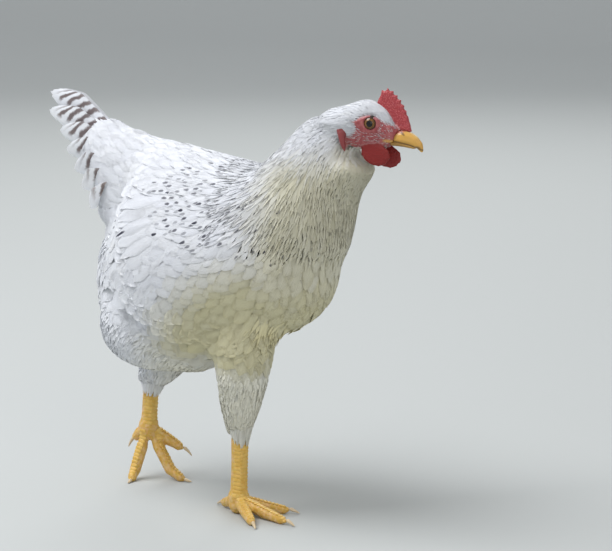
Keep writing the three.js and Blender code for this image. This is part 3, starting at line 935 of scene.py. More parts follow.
COVERT_VANES = dict(rows=9, columns=11, arch=2.5, camber=0.1, root_width=0.4, widest=0.6, tip_width=0.6,
                    roundness=0.25, fray=0.04)
BRISTLE_LENGTHS = (4, 8)
BRISTLE_WIDTH = 0.45
FRINGE_WIDTH, FRINGE_ROWS, FRINGE_EACH = 4.2, 3, 26
FRINGE_STEP = 0.22  # from one row's roots to the next, as a share of the way to the tips
FRINGES = {  # over each hock: the middle and radii of the ring of roots and of the ring of tips
    RIGHT: ((40, -16, 88), (14, 14), (38.5, -15, 60), (6.8, 6.8)),
    LEFT: ((-87, 20, 100), (18, 14.5), (-94, 18, 77), (7.2, 7.2)),
}


def lay_vanes(name, surface, lie, roots, rng, rows=7, columns=7, longer=1.0, wider=1.0, root_width=0.3,
              widest=0.6, tip_width=0.7, roundness=0.25, fray=0.05, cup=0.04, lift=0.1, scatter=0.12,
              sunk=0.0, roll=0.02, facts=None, follow=0.25, rise=0.0, bury=1.0, marks=None):
    """Feathers laid over the surface from their roots, each following the lie and covering the next.

    cup bends the edges down, lift raises the tips, bury sinks the roots, and sunk and rise move it all.
    """
    count = len(roots)
    facts = lie.at(roots) if facts is None else facts
    size = rng.normal(1, 0.1, (count, 1)).clip(0.75, 1.3)
    length = facts[:, LENGTH, None] * MM * longer * size
    width = facts[:, WIDTH, None] * MM * wider * size * rng.normal(1, 0.08, (count, 1))
    depth = facts[:, DEPTH, None] * MM * rng.uniform(0.2, 0.27, (count, 1)) * bury
    along, across = vane_outline(
        rows, columns, rng, count, root_width, widest, tip_width, roundness, fray
    )
    steps = np.linspace(0, 1, rows) ** 0.85
    place = surface.moved_to(roots, 0.0)
    _, out = surface.at(place)
    way = unit(facts[:, :3] - (facts[:, :3] * out).sum(-1, keepdims=True) * out)
    yaw = rng.normal(0, scatter, (count, 1))
    way = unit(way * np.cos(yaw) + np.cross(out, way) * np.sin(yaw))
    spine, sides, ways = [place], [np.cross(out, way)], [way]
    for i in range(1, rows):
        place = surface.moved_to(place + way * length * (steps[i] - steps[i - 1]), 0.0)
        _, out = surface.at(place)
        way = unit(way * (1 - follow) + lie.at(place)[:, :3] * follow)
        way = unit(way - (way * out).sum(-1, keepdims=True) * out)
        spine.append(place)
        sides.append(np.cross(out, way))
        ways.append(way)
    spine, sides, ways = [np.stack(values, axis=1)[:, :, None] for values in (spine, sides, ways)]
    steps = steps[:, None]
    span, breadth, depth = length[..., None], width[..., None], depth[..., None]
    flat = spine + sides * (across * breadth / 2)[..., None]
    flat = flat + ways * ((along - steps) * span)[..., None]
    roll = rng.normal(0, roll, (count, 1, 1))
    tip = rng.normal(lift, 0.1, (count, 1, 1)) * MM
    bow = np.linspace(-1, 1, columns)
    height = -depth * (1 - steps) ** 1.2 + tip * steps**2
    height = height - cup * breadth * bow**2 * 0.5 + roll * breadth * bow * 0.5
    height = height - sunk * MM + rise * MM
    grid = surface.moved_to(flat, height)
    _, out = surface.at(grid)
    return solid_vanes(name, grid, out, unwrap(roots), plumage_marks(roots, length, width, rng, marks))


def free_vanes(name, roots, tips, wide, width, rng, rows=16, columns=9, arch=0, camber=0.06, marks=None,
               **shape):
    """Long feathers with a line of their own, from root to tip, such as those of the tail."""
    roots, tips, width = [np.array(values) * MM for values in (roots, tips, width)]
    line = tips - roots
    length = np.linalg.norm(line, axis=1, keepdims=True)
    face = unit(np.cross(line, np.array(wide)))
    side = unit(np.cross(face, line))
    along, across = vane_outline(rows, columns, rng, len(roots), **shape)
    line, face, side = [values[:, None, None] for values in (line, face, side)]
    breadth = width[:, None, None]
    grid = roots[:, None, None] + line * along[..., None] + side * (across * breadth / 2)[..., None]
    bow = np.linspace(-1, 1, columns) ** 2
    grid = grid - face * (bow * camber * breadth)[..., None]
    grid[..., 2] += arch * MM * np.sin(np.pi * np.clip(along, 0, 1))
    out = np.broadcast_to(face, grid.shape)
    marks = plumage_marks(roots, length, width[:, None], rng, marks)
    return solid_vanes(name, grid, out, unwrap(roots), marks)


def plain_facts(way, length, width, depth):
    """Facts for feathers that don't take them from the lie."""
    facts = np.zeros((len(length), 7))
    facts[:, :3] = way
    for column, values in ((LENGTH, length), (WIDTH, width), (DEPTH, depth)):
        facts[:, column] = values
    return facts


def lay_bristles(lie, rng):
    """Sparse white bristles on the red of her face, fanning out from the root of the bill."""
    piece = joined_copy("face surface", ["head"], grow=0.1)
    mesh = remesh(piece, FACE_VOXEL)
    move_points(mesh, relaxed(points_of(mesh), edges_of(mesh), 3))
    face = Heights(piece, FACE_SPACING, FACE_MARGIN)

    def on_red(points):
        x, _, z = np.moveaxis(in_head(points), -1, 0)
        clear = (bare_face(points) > 0.7) & (np.hypot(x, z) > 8.5) & (x < 24)
        return clear & ~((x > 0) & (z < -14))

    roots = spread_roots(face, lie, on_red, 9000, SEED + 7, closer=0.8)
    bpy.data.objects.remove(piece)
    x, y, z = in_head(roots).T
    spokes = np.stack([x - 26, y * 0.1, (z + 7) * 0.75], axis=1)
    way = unit(unit(spokes) @ np.array(HEAD.to_3x3()).T)
    facts = plain_facts(way, rng.uniform(*BRISTLE_LENGTHS, len(roots)), BRISTLE_WIDTH, 0.6)
    return lay_vanes("face_bristles", face, lie, roots, rng, facts=facts, **BRISTLES)


def lay_fringes(rng):
    """Short soft feathers that hang over the hocks and end in a point."""
    roots, tips, wide = [], [], []
    for rings in FRINGES.values():
        root_middle, root_radii, tip_middle, tip_radii = map(np.array, rings)
        for row in range(FRINGE_ROWS):
            share = FRINGE_STEP * row
            middle = root_middle * (1 - share) + tip_middle * share
            radii = root_radii * (1 - share) + tip_radii * share
            for i in range(FRINGE_EACH):
                turn = (i + 0.33 * row) / FRINGE_EACH * 2 * math.pi + rng.normal(0, 0.05)
                spoke = np.array((math.cos(turn), math.sin(turn)))
                longer = 3.5 * spoke[0] + rng.normal(0, 1.3)
                roots.append(middle + np.array((*(spoke * radii), 0)))
                tips.append(tip_middle + np.array((*(spoke * tip_radii), 6 - 3 * row - longer)))
                wide.append((-spoke[1], spoke[0], 0))
    width = np.full(len(roots), FRINGE_WIDTH)
    return free_vanes("hock_fringes", roots, tips, wide, width, rng, **FRINGE_VANES)


# ---- Tail and flight feathers ----

TAIL_PAIRS = 7
TAIL_WIDTH = 27
# Start and change: from the topmost feather to the lowest.
TAIL_ROOTS = ((-102, 3, 291), (8, 17, -27))
TAIL_TIPS = ((-187, 4, 333), (76, 30, -90))
TAIL_SIDES = ((0.4, 0, 1), (0, -0.4, -0.3))
TAIL_CURVE = 1.2  # how late the tips of the lower pairs fall back
SECOND_PAIR = 6  # how much further back it reaches
# Start and change: from the foremost ring of coverts to the next.
COVERT_RINGS, COVERTS_EACH_SIDE, COVERT_WIDTH = 6, 9, 14
COVERT_MIDDLES = ((-66, 0, 268), (-9, 0, 3.6))
COVERT_RADII = ((30, 31), (-3.2, -2.2))
# Start and change: from the topmost covert of a ring to the lowest.
COVERT_LENGTHS = (32, -6)
COVERT_TURNS = (-8, 118)
COVERT_WAYS = ((-0.86, 0, 0.42), (0.3, 0, -0.75))
COVERT_DEPTH = 0.76  # of the roots, as a share of the ring's radius
COVERT_FAN = 0.06  # outwards
# Start and change: from the topmost flight feather to the lowest.
FLIGHT_LENGTHS = (74, -12)
FLIGHT_WAYS = ((-0.92, 0, -0.3), (0.14, 0, -0.32))
FLIGHT_RISE = (2.0, -1.6)  # at the tips
FLIGHT_WIDTH, FLIGHT_DEPTH, FLIGHT_ASIDE = 15.0, 4.0, 66.0
FLIGHT_ENDS = [(-62, 258), (-58, 240), (-53, 222), (-46, 205), (-37, 188), (-26, 175)]  # tips: x and z
FLIGHT_STREAKS = [0, 0, 0, 1, 0, 0, 0, 0.35, 0.35, 0.35]  # how dark the edge of each is, from the top


def lay_tail(rng):
    """Pairs of barred tail feathers, folded like a steep roof."""
    roots, tips, wide = [], [], []
    for sign in SIDES.values():
        for i in range(TAIL_PAIRS):
            share = i / (TAIL_PAIRS - 1)
            back = SECOND_PAIR if i == 1 else 0
            tip = going(TAIL_TIPS, np.array((share**TAIL_CURVE, share, share))) - (back, 0, 0)
            roots.append(going(TAIL_ROOTS, share) * (1, sign, 1))
            tips.append(tip * (1, sign, 1))
            wide.append(going(TAIL_SIDES, share) * sign)
    marks = {"bars": np.ones(len(roots))}
    width = np.full(len(roots), TAIL_WIDTH)
    return free_vanes("tail_feathers", roots, tips, wide, width, rng, marks=marks, **TAIL_VANES)


def lay_tail_coverts(rng):
    """Softer feathers over the roots of the tail, above, beside and below it."""
    roots, tips, wide, width = [], [], [], []
    for sign in SIDES.values():
        for ring in range(COVERT_RINGS):
            half, high = going(COVERT_RADII, ring)
            for i in range(COVERTS_EACH_SIDE):
                share = (i + 0.5 * (ring % 2)) / COVERTS_EACH_SIDE
                reach = going(COVERT_LENGTHS, share) + rng.normal(0, 2)
                turn = math.radians(going(COVERT_TURNS, share))
                spoke = np.array((0, sign * math.sin(turn) * half, math.cos(turn) * high))
                root = going(COVERT_MIDDLES, ring) + spoke * COVERT_DEPTH
                way = going(COVERT_WAYS, share)
                fanned = way + spoke / np.linalg.norm(spoke) * COVERT_FAN
                roots.append(root)
                tips.append(root + fanned / np.linalg.norm(fanned) * reach)
                wide.append(np.cross(spoke, way))
                width.append(COVERT_WIDTH + rng.normal(0, 1))
    return free_vanes("tail_coverts", roots, tips, wide, width, rng, **COVERT_VANES)


def lay_flight(surface, lie, rng):
    """The long feathers at the rear edge of each folded wing, each lying over the one below it."""
    count = len(FLIGHT_STREAKS)
    share = np.linspace(0, 1, count)
    x, z = [np.interp(share, np.linspace(0, 1, len(FLIGHT_ENDS)), ends) for ends in np.array(FLIGHT_ENDS).T]
    length = going(FLIGHT_LENGTHS, share)
    way = unit(going(FLIGHT_WAYS, share[:, None]))
    roots = []
    for sign in SIDES.values():
        tips = np.stack([x, np.full(count, sign * FLIGHT_ASIDE), z], axis=1)
        roots.append((tips - way * length[:, None]) * MM)
    facts = np.tile(plain_facts(way, length, FLIGHT_WIDTH, FLIGHT_DEPTH), (2, 1))
    reach = np.linspace(0, 1, FLIGHT_VANES["rows"])[None, :, None]
    rise = reach * going(FLIGHT_RISE, np.tile(share, 2))[:, None, None]
    marks = {"streak": np.tile(np.array(FLIGHT_STREAKS, dtype=float), 2)}
    return lay_vanes("flight_feathers", surface, lie, np.concatenate(roots), rng, facts=facts, rise=rise,
                     marks=marks, **FLIGHT_VANES)


# ---- Materials ----


class Paint:
    """A small helper to wire a Principled material together."""

    def __init__(self, name):
        self.material = bpy.data.materials.new(name)
        self.material.use_nodes = True
        self.tree = self.material.node_tree
        self.shader = self.tree.nodes["Principled BSDF"]

    def node(self, kind, **settings):
        node = self.tree.nodes.new(kind)
        for key, value in settings.items():
            setattr(node, key, value)
        return node

    def wire(self, source, target):
        self.tree.links.new(source, target)

    def put(self, node, name, value):
        """Sets an input by name or number, or wires it if the value is an output."""
        if isinstance(value, bpy.types.NodeSocket):
            self.wire(value, node.inputs[name])
        else:
            node.inputs[name].default_value = value

    def full(self, colour):
        """A colour with its alpha, or the output that it comes from."""
        return colour if isinstance(colour, bpy.types.NodeSocket) else (*colour, 1)

    def attribute(self, name):
        return self.node("ShaderNodeAttribute", attribute_name=name).outputs["Fac"]

    def maths(self, operation, a, b=0.0):
        node = self.node("ShaderNodeMath", operation=operation)
        self.put(node, 0, a)
        self.put(node, 1, b)
        return node.outputs[0]

    def times(self, a, b):
        return self.maths("MULTIPLY", a, b)

    def plus(self, a, b):
        return self.maths("ADD", a, b)

    def minus(self, a, b):
        return self.maths("SUBTRACT", a, b)

    def ramp(self, value, low, high):
        """0 below low, 1 above high, and smooth between."""
        node = self.node("ShaderNodeMapRange", interpolation_type="SMOOTHSTEP")
        self.put(node, "Value", value)
        self.put(node, "From Min", low)
        self.put(node, "From Max", high)
        return node.outputs["Result"]

    def mix(self, share, a, b):
        node = self.node("ShaderNodeMix", data_type="RGBA")
        self.put(node, 0, share)
        self.put(node, 6, self.full(a))
        self.put(node, 7, self.full(b))
        return node.outputs[2]

    def pattern(self, kind, scale, output, **settings):
        """A pattern over the piece, in its own place."""
        node = self.node(kind)
        self.put(node, "Scale", scale)
        for name, value in settings.items():
            self.put(node, name, value)
        self.put(node, "Vector", self.node("ShaderNodeTexCoord").outputs["Object"])
        return node.outputs[output]

    def noise(self, scale, detail=3.0):
        return self.pattern("ShaderNodeTexNoise", scale, "Fac", Detail=detail)

    def cells(self, scale):
        return self.pattern("ShaderNodeTexVoronoi", scale, "Distance")

    def bump(self, height, distance, strength=1.0):
        node = self.node("ShaderNodeBump")
        self.put(node, "Strength", strength)
        self.put(node, "Distance", distance * MM)
        self.wire(height, node.inputs["Height"])
        self.wire(node.outputs["Normal"], self.shader.inputs["Normal"])

    def colour(self, value):
        self.put(self.shader, "Base Color", self.full(value))

    def finish(
        self, roughness=0.5, specular=0.5, softness=0.0, tint=(1, 1, 1), reach=1.0, sheen=0.0, coat=0.0
    ):
        """Sets the shader's own sockets and gives the material."""
        for name, value in {
            "Roughness": roughness,
            "Specular IOR Level": specular,
            "Subsurface Weight": softness,
            "Subsurface Radius": tint,
            "Subsurface Scale": reach * MM,
            "Sheen Weight": sheen,
            "Coat Weight": coat,
            "Coat Roughness": 0.06,
        }.items():
            self.shader.inputs[name].default_value = value
        return self.material


# The ivory below is partly the plumage's own tone and partly painted shade and painted warm light reflected
# from the ground; the shaded whites are darker copies for feathers picked at random.
COOL_WHITE = (0.78, 0.80, 0.83)
IVORY_WITH_PAINTED_SHADE = (0.65, 0.605, 0.375)
SHADED_COOL = (0.73, 0.75, 0.79)
SHADED_WARM = (0.59, 0.55, 0.33)
FLECK = (0.04, 0.04, 0.06)
BAR = (0.16, 0.13, 0.13)
FACE_RED = (0.31, 0.06, 0.065)
FACE_PINK = (0.42, 0.13, 0.13)
COMB_RED = (0.36, 0.042, 0.05)
COMB_PINK = (0.52, 0.12, 0.12)
WATTLE_RED = (0.225, 0.012, 0.010)
LOBE_RED = (0.23, 0.04, 0.04)
GAPE_YELLOW = (0.62, 0.38, 0.10)
LEG_YELLOW = (0.62, 0.38, 0.07)
LEG_PALE = (0.70, 0.46, 0.2)
SCUTE_PALE = (0.70, 0.46, 0.12)
TURN = 6.283  # of a sine
BAR_STEP = 12.0  # from one bar to the next


def feather_white(paint):
    """White, cooler above and ivory on the breast, the ivory partly her own tone and partly painted shade
    and painted warm light reflected from the ground, and each feather a little lighter or darker.
    """
    ivory_and_painted_shade = paint.attribute("ivory_and_painted_shade")
    white = paint.mix(ivory_and_painted_shade, COOL_WHITE, IVORY_WITH_PAINTED_SHADE)
    shaded = paint.mix(ivory_and_painted_shade, SHADED_COOL, SHADED_WARM)
    return paint.mix(paint.ramp(paint.attribute("chance"), -0.4, 0.8), shaded, white)


def plumage_material():
    """White vanes with barbs, a faint shaft, dark flecks, bars and streaks."""
    paint = Paint("white plumage")
    times, plus, minus = paint.times, paint.plus, paint.minus
    fleck, reach, breadth, bars, streak = [
        paint.attribute(name) for name in ("fleck", "reach", "breadth", "bars", "streak")
    ]
    split = paint.node("ShaderNodeSeparateXYZ")
    paint.wire(paint.node("ShaderNodeUVMap", uv_map="Vane").outputs["UV"], split.inputs[0])
    across = times(minus(split.outputs[0], 0.5), breadth)
    away = paint.maths("ABSOLUTE", across)
    from_tip = times(minus(1.0, split.outputs[1]), reach)
    wobble = times(minus(paint.noise(420.0), 0.5), 1.1)

    def spot(centre, half_width, half_length):
        """1 inside a soft oval on the shaft, so many millimetres from the tip."""
        u = paint.maths("DIVIDE", away, half_width)
        v = paint.maths("DIVIDE", minus(from_tip, centre), half_length)
        far = paint.maths("SQRT", plus(times(u, u), times(v, v)))
        return minus(1.0, paint.ramp(plus(far, wobble), 0.7, 1.3))

    dark = paint.maths("MAXIMUM", times(spot(3.2, 1.4, 2.8), fleck), times(spot(9.0, 1.6, 8.0), streak))
    drift = times(minus(paint.noise(130.0), 0.5), 8.0)
    slanted = plus(plus(from_tip, drift), times(across, 0.6))
    beat = paint.maths("SINE", times(slanted, TURN / BAR_STEP))
    bar = times(paint.ramp(plus(beat, wobble), -0.7, 0.8), paint.ramp(from_tip, 3.0, 15.0))
    bar = times(times(bar, paint.ramp(across, 6.5, 0.0)), bars)
    paint.colour(paint.mix(dark, paint.mix(bar, feather_white(paint), BAR), FLECK))
    barbs = paint.maths("SINE", times(plus(times(from_tip, 1.1), times(away, 1.4)), TURN))
    shaft = paint.ramp(away, 0.7, 0.0)
    paint.bump(plus(barbs, times(shaft, 2.0)), 0.05, 0.6)
    return paint.finish(roughness=0.75, specular=0.2, softness=0.35, tint=(1, 0.95, 0.85), reach=3.0)


def fluff_material():
    """The loose plumes of the belly, rear and thighs, of the vanes' white, with the same painted shade and
    painted ground light in its ivory.
    """
    paint = Paint("white fluff")
    paint.colour(feather_white(paint))
    return paint.finish(roughness=0.95, specular=0.05, sheen=0.2)


def skin_material():
    """White under the feathers, with the coat's own flecks, and red or yellow where she is bare."""
    paint = Paint("bare skin")
    mottle, grain = paint.noise(320.0, 4.0), paint.cells(900.0)
    # ivory where the coat lies, partly painted shade and painted warm light reflected from the ground
    white = paint.mix(paint.attribute("ivory_and_painted_shade"), COOL_WHITE, IVORY_WITH_PAINTED_SHADE)
    fleck = paint.times(paint.attribute("fleck"), paint.ramp(paint.cells(125.0), 0.35, 0.2))
    colour = paint.mix(fleck, white, FLECK)
    for place, over in (
        ("face", paint.mix(paint.ramp(mottle, 0.35, 0.7), FACE_RED, FACE_PINK)),
        ("comb", paint.mix(paint.ramp(grain, 0.1, 0.6), COMB_PINK, COMB_RED)),
        ("wattle", WATTLE_RED),
        ("lobe", LOBE_RED),
        ("gape", GAPE_YELLOW),
        ("leg", paint.mix(paint.ramp(mottle, 0.4, 0.65), LEG_YELLOW, LEG_PALE)),
    ):
        colour = paint.mix(paint.attribute(place), colour, over)
    paint.colour(colour)
    paint.bump(paint.plus(grain, paint.noise(500.0, 3.0)), 0.35, 0.8)
    return paint.finish(roughness=0.45, specular=0.4, softness=0.25, tint=(1.0, 0.35, 0.2), reach=1.5)


def horn_material():
    """Yellow horn, paler along the ridge as a painted highlight, with dark nostrils, mouth line and tip."""
    paint = Paint("yellow horn")
    yellow = paint.mix(paint.noise(160.0), (0.56, 0.30, 0.05), (0.66, 0.39, 0.09))
    # a painted highlight along the top of the bill
    yellow = paint.mix(paint.attribute("ridge"), yellow, (0.66, 0.45, 0.19))
    yellow = paint.mix(paint.attribute("cere"), yellow, (0.42, 0.115, 0.075))
    paint.colour(paint.mix(paint.attribute("stain"), yellow, (0.07, 0.035, 0.02)))
    paint.bump(paint.noise(500.0), 0.05)
    return paint.finish(roughness=0.3, specular=0.5, softness=0.15, tint=(1, 0.6, 0.2), reach=1.0)


def claw_material():
    paint = Paint("claw horn")
    paint.colour(paint.mix(paint.noise(220.0), (0.50, 0.37, 0.20), (0.68, 0.56, 0.38)))
    return paint.finish(roughness=0.35)


def scute_material():
    paint = Paint("leg scutes")
    paint.colour(paint.mix(paint.ramp(paint.noise(240.0), 0.35, 0.65), LEG_YELLOW, SCUTE_PALE))
    return paint.finish(roughness=0.42, specular=0.4, softness=0.15, tint=(1.0, 0.5, 0.2), reach=1.0)


def eye_material():
    """Amber iris round a black pupil, by the distance from the eye's own axis."""
    paint = Paint("eye")
    ring = paint.attribute("from_axis")
    fibres = paint.noise(900.0, 4.0)
    iris = paint.mix(paint.ramp(fibres, 0.3, 0.7), (0.09, 0.04, 0.008), (0.24, 0.115, 0.022))
    iris = paint.mix(paint.ramp(ring, IRIS_RADIUS - 1.3, IRIS_RADIUS), iris, (0.03, 0.015, 0.008))
    pupil = paint.ramp(ring, PUPIL_RADIUS - 0.15, PUPIL_RADIUS + 0.15)
    paint.colour(paint.mix(pupil, (0.004, 0.004, 0.005), iris))
    return paint.finish(roughness=0.15, specular=0.25, coat=0.3)


# ---- Small hard parts: eyes, bill and claws ----


def make_eye(side, material):
    centre = np.array(EYE_PLACES[side])
    out = np.array(eye_way(side))
    ball = bmesh.new()
    bmesh.ops.create_uvsphere(ball, u_segments=48, v_segments=32, radius=EYE_RADIUS * MM)
    turn = Vector((0, 0, 1)).rotation_difference(Vector(out)).to_matrix().to_4x4()
    bmesh.ops.transform(ball, matrix=Matrix.Translation(centre) @ turn, verts=ball.verts)
    mesh = as_mesh(f"eyeball_{side}", ball)
    points = points_of(mesh)
    from_centre = points - centre
    reach = (from_centre * out).sum(1)
    from_axis = np.linalg.norm(from_centre - reach[:, None] * out, axis=1) / MM
    from_axis = np.where(reach > 0, from_axis, EYE_RADIUS)
    bulge = CORNEA_BULGE * MM * np.exp(-((from_axis / CORNEA_RADIUS) ** 2)) * (reach > 0)
    move_points(mesh, points + bulge[:, None] * out)
    mark(mesh, "from_axis", from_axis)
    shade_smooth(mesh)
    mesh.materials.append(material)
    eye = link(f"eyeball_{side}", mesh)
    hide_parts(f"eye_{side}")
    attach(eye, "root")


def smooth_copy(name, nodes, voxel, rounds, material):
    """A finely smoothed copy of faceted nodes, in their place."""
    piece = joined_copy(name, nodes, grow=0.05)
    mesh = remesh(piece, voxel)
    points = relaxed(points_of(mesh), edges_of(mesh), rounds)
    points[:, 2] = np.maximum(points[:, 2], 0)
    move_points(mesh, points)
    shade_smooth(mesh)
    mesh.materials.append(material)
    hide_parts(*nodes)
    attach(piece, "root")
    return piece


SHANK_ROWS = [(-62, 3.8, 4.0), (0, 4.6, 4.8), (62, 3.8, 4.0)]  # turn in degrees, breadth at top and foot
TOE_BREADTHS = (3.9, 2.6)
SCUTE_SINK = 0.16  # into the skin, as a share of the breadth
SCUTE_SHAPE = (0.62, 1.0, 0.27)  # along, across and thick

# The lines that the scutes follow, from top to tip: the shank's own, then each toe's.
SHANKS = {RIGHT: [(37.6, -15, 62), (36, -15, 16)], LEFT: [(-94.4, 18, 76), (-97.4, 19, 50)]}
TOES = {
    RIGHT: [
        [(40, -11, 12), (54, -2, 6.5), (70, 8, 3)],
        [(43, -15, 12), (62, -16, 7), (90, -18, 3)],
        [(41, -19, 12), (54, -26, 6.5), (72, -38, 3)],
    ],
    LEFT: [
        [(-98, 16, 40), (-101, 7, 13), (-98.5, -3, 3)],
        [(-93, 20, 38), (-78, 24, 12), (-65, 27, 3)],
        [(-94, 22, 44), (-84, 29, 36), (-73, 35.5, 27)],
    ],
}


def scute_paths(skin):
    """Edges down the front of each shank and the top of each toe, each point with its way out."""
    tree = tree_of(skin)
    verts, edges, facings, breadths = [], [], [], []

    def follow(line, way, broad, thin, steps):
        out = Vector(way).normalized()
        line = np.array(line, dtype=float)
        share = np.linspace(0, 1, len(line))
        last = None
        for t in np.linspace(0, 1, steps):
            middle = Vector([np.interp(t, share, line[:, k]) for k in range(3)]) * MM
            hit, normal, _, _ = tree.ray_cast(middle + out * 16 * MM, -out)
            if hit is None or (hit - middle).length > 13 * MM:
                last = None
                continue
            breadth = (broad + (thin - broad) * t) * MM
            verts.append(hit - normal * breadth * SCUTE_SINK)
            facings.append(normal)
            breadths.append(breadth)
            if last is not None:
                edges.append((last, len(verts) - 1))
            last = len(verts) - 1

    for side in SIDES:
        for turn, broad, thin in SHANK_ROWS:
            way = (math.cos(math.radians(turn)), math.sin(math.radians(turn)), 0.05)
            follow(SHANKS[side], way, broad, thin, 16)
        for line in TOES[side]:
            run = Vector(line[-1]) - Vector(line[0])
            follow(line, Vector((0, 0, 1)) - run * run.z / run.length_squared, *TOE_BREADTHS, 14)
    mesh = bpy.data.meshes.new("scutes")
    mesh.from_pydata(verts, edges, [])
    facing = mesh.attributes.new("facing", "FLOAT_VECTOR", "POINT")
    facing.data.foreach_set("vector", np.array(facings).ravel())
    mark(mesh, "breadth", breadths)
    return mesh


def scute_nodes():
    """Geometry Nodes: flat overlapping plates, one every Spacing along each path, facing its way out."""
    group = bpy.data.node_groups.new("scutes along paths", "GeometryNodeTree")
    for name, way, kind in (
        ("Geometry", "INPUT", "Geometry"),
        ("Spacing", "INPUT", "Float"),
        ("Material", "INPUT", "Material"),
        ("Geometry", "OUTPUT", "Geometry"),
    ):
        group.interface.new_socket(name, in_out=way, socket_type=f"NodeSocket{kind}")

    def node(kind, inputs=None, **settings):
        made = group.nodes.new(kind)
        for key, value in settings.items():
            setattr(made, key, value)
        for name, value in (inputs or {}).items():
            made.inputs[name].default_value = value
        return made

    entry, leave = node("NodeGroupInput"), node("NodeGroupOutput")
    curves = node("GeometryNodeMeshToCurve")
    resampled = node("GeometryNodeResampleCurve", mode="LENGTH")
    plate = node("GeometryNodeMeshUVSphere", {"Segments": 14, "Rings": 8})
    flattened = node("GeometryNodeTransform", {"Scale": SCUTE_SHAPE})
    facing = node("GeometryNodeInputNamedAttribute", data_type="FLOAT_VECTOR")
    breadth = node("GeometryNodeInputNamedAttribute", data_type="FLOAT")
    facing.inputs["Name"].default_value = "facing"
    breadth.inputs["Name"].default_value = "breadth"
    tangent = node("GeometryNodeInputTangent")
    along = node("FunctionNodeAlignRotationToVector", axis="X")
    upright = node("FunctionNodeAlignRotationToVector", axis="Z", pivot_axis="X")
    plates = node("GeometryNodeInstanceOnPoints")
    real = node("GeometryNodeRealizeInstances")
    smooth = node("GeometryNodeSetShadeSmooth")
    painted = node("GeometryNodeSetMaterial")
    for source, output, target, goal in (
        (entry, "Geometry", curves, "Mesh"),
        (curves, "Curve", resampled, "Curve"),
        (entry, "Spacing", resampled, "Length"),
        (plate, "Mesh", flattened, "Geometry"),
        (tangent, "Tangent", along, "Vector"),
        (along, "Rotation", upright, "Rotation"),
        (facing, "Attribute", upright, "Vector"),
        (resampled, "Curve", plates, "Points"),
        (flattened, "Geometry", plates, "Instance"),
        (upright, "Rotation", plates, "Rotation"),
        (breadth, "Attribute", plates, "Scale"),
        (plates, "Instances", real, "Geometry"),
        (real, "Geometry", smooth, "Geometry"),
        (smooth, "Geometry", painted, "Geometry"),
        (entry, "Material", painted, "Material"),
        (painted, "Geometry", leave, "Geometry"),
    ):
        group.links.new(source.outputs[output], target.inputs[goal])
    return group


def lay_scutes(skin):
    """The horny plates down the front of each shank and along each toe."""
    piece = link("scutes", scute_paths(skin))
    modifier = piece.modifiers.new("scutes", "NODES")
    modifier.node_group = scute_nodes()
    inputs = {
        item.name: item.identifier
        for item in modifier.node_group.interface.items_tree
        if item.in_out == "INPUT"
    }
    modifier[inputs["Spacing"]] = SCUTE_SPACING * MM
    modifier[inputs["Material"]] = scute_material()
    evaluated(piece)
    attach(piece, "root")


BILL_MOUTH = [(15, -9.3), (26, -8.1), (34, -7.6), (40, -8.1)]  # x and z on her head


def mark_bill(mesh):
    """Marks the bill's pale ridge, a painted highlight, and its red root, and its nostrils, mouth line and
    dark tip.
    """
    x, y, z = in_head(points_of(mesh)).T
    # a painted highlight along the top ridge of the bill
    ridge = smooth_step(2.6, 0.8, np.abs(y)) * smooth_step(-4, 0, z) * smooth_step(43, 36, x)
    nostril = smooth_step(1.25, 0.75, np.hypot((x - 25.5) / 2.4, (z + 0.6 + 0.3 * (x - 25.5)) / 0.8))
    mouth = 0.75 * smooth_step(0.9, 0.3, np.abs(z - read(BILL_MOUTH, x)))
    tip = 0.7 * smooth_step(1.4, 0.6, np.hypot((x - 40.5) / 2.2, (z + 7.6) / 1.3))
    under = 0.45 * smooth_step(-8.4, -9.4, z) * smooth_step(41, 39, x)
    mark(mesh, "cere", smooth_step(-0.8, 1.6, z + 7.8 - 0.67 * (x - 13.7)) * smooth_step(31, 26, x))
    mark(mesh, "ridge", ridge)
    mark(mesh, "stain", np.max([0.7 * nostril * (np.abs(y) > 2.0), mouth * (x > 18), tip, under], axis=0))


# ---- The coat ----

NECK_EDGE = [(40, 330), (75, 262), (110, 250), (130, 250)]  # the hackle's lower edge: x and z
FACE_REACH = 30  # of the small feathers round the face, from its middle
DOWN_REACH = 28  # from the middle of the head, within which no down lies
DOWN_SINK = 0.3  # under the fluff
BACK_HEIGHT = 200  # above it the whole back is covered, over and between the wings
UNDER_WING = (14, 214)  # how far under a wing the flank's vanes start, and their top
FLUFF_DEPTH = 16  # how far the fluff goes up under the vanes
HOCK_HEIGHT = 62
WISP_LENGTH, WISP_WIDTH = 0.75, 3.0  # a share of the lie's length, and millimetres
WISP_RISE, WISP_SINK = 1.3, 3.0  # under the vanes' edge, and below it
FLARE = 2.5  # how far the lowest wing feathers' tips stand out, but in front
TIP_GAP, ROOT_GAP = 11, 15  # from the wing feathers to the wing's rear edge
GAP_HEIGHTS = (186, 212)  # over which those gaps grow from nothing


def from_face(points):
    return np.linalg.norm(in_head(points) - FACE_MIDDLE, axis=-1)


def feathered(points):
    return bare_face(points) < 0.5


def over_back(points):
    return feathered(points) & ((wing_reach(points) > 0) | (points[:, 2] > BACK_HEIGHT * MM))


def on_neck(points):
    x, y, z = in_mm(points)
    high = z + 5 * np.sin(x / 4 + y / 5) > read(NECK_EDGE, x)
    return feathered(points) & high & (from_face(points) >= FACE_REACH)


def over_fluff(points):
    """How far points lie above the edge where the vanes of the flank end over the fluff."""
    x, y, z = in_mm(points)
    return z - read(FLUFF_EDGE, x) + 2.5 * np.sin(x / 5 + y / 9)


def under_wing(points):
    low = (wing_reach(points) < UNDER_WING[0]) & (points[:, 2] <= UNDER_WING[1] * MM)
    return feathered(points) & low & (over_fluff(points) > -2)


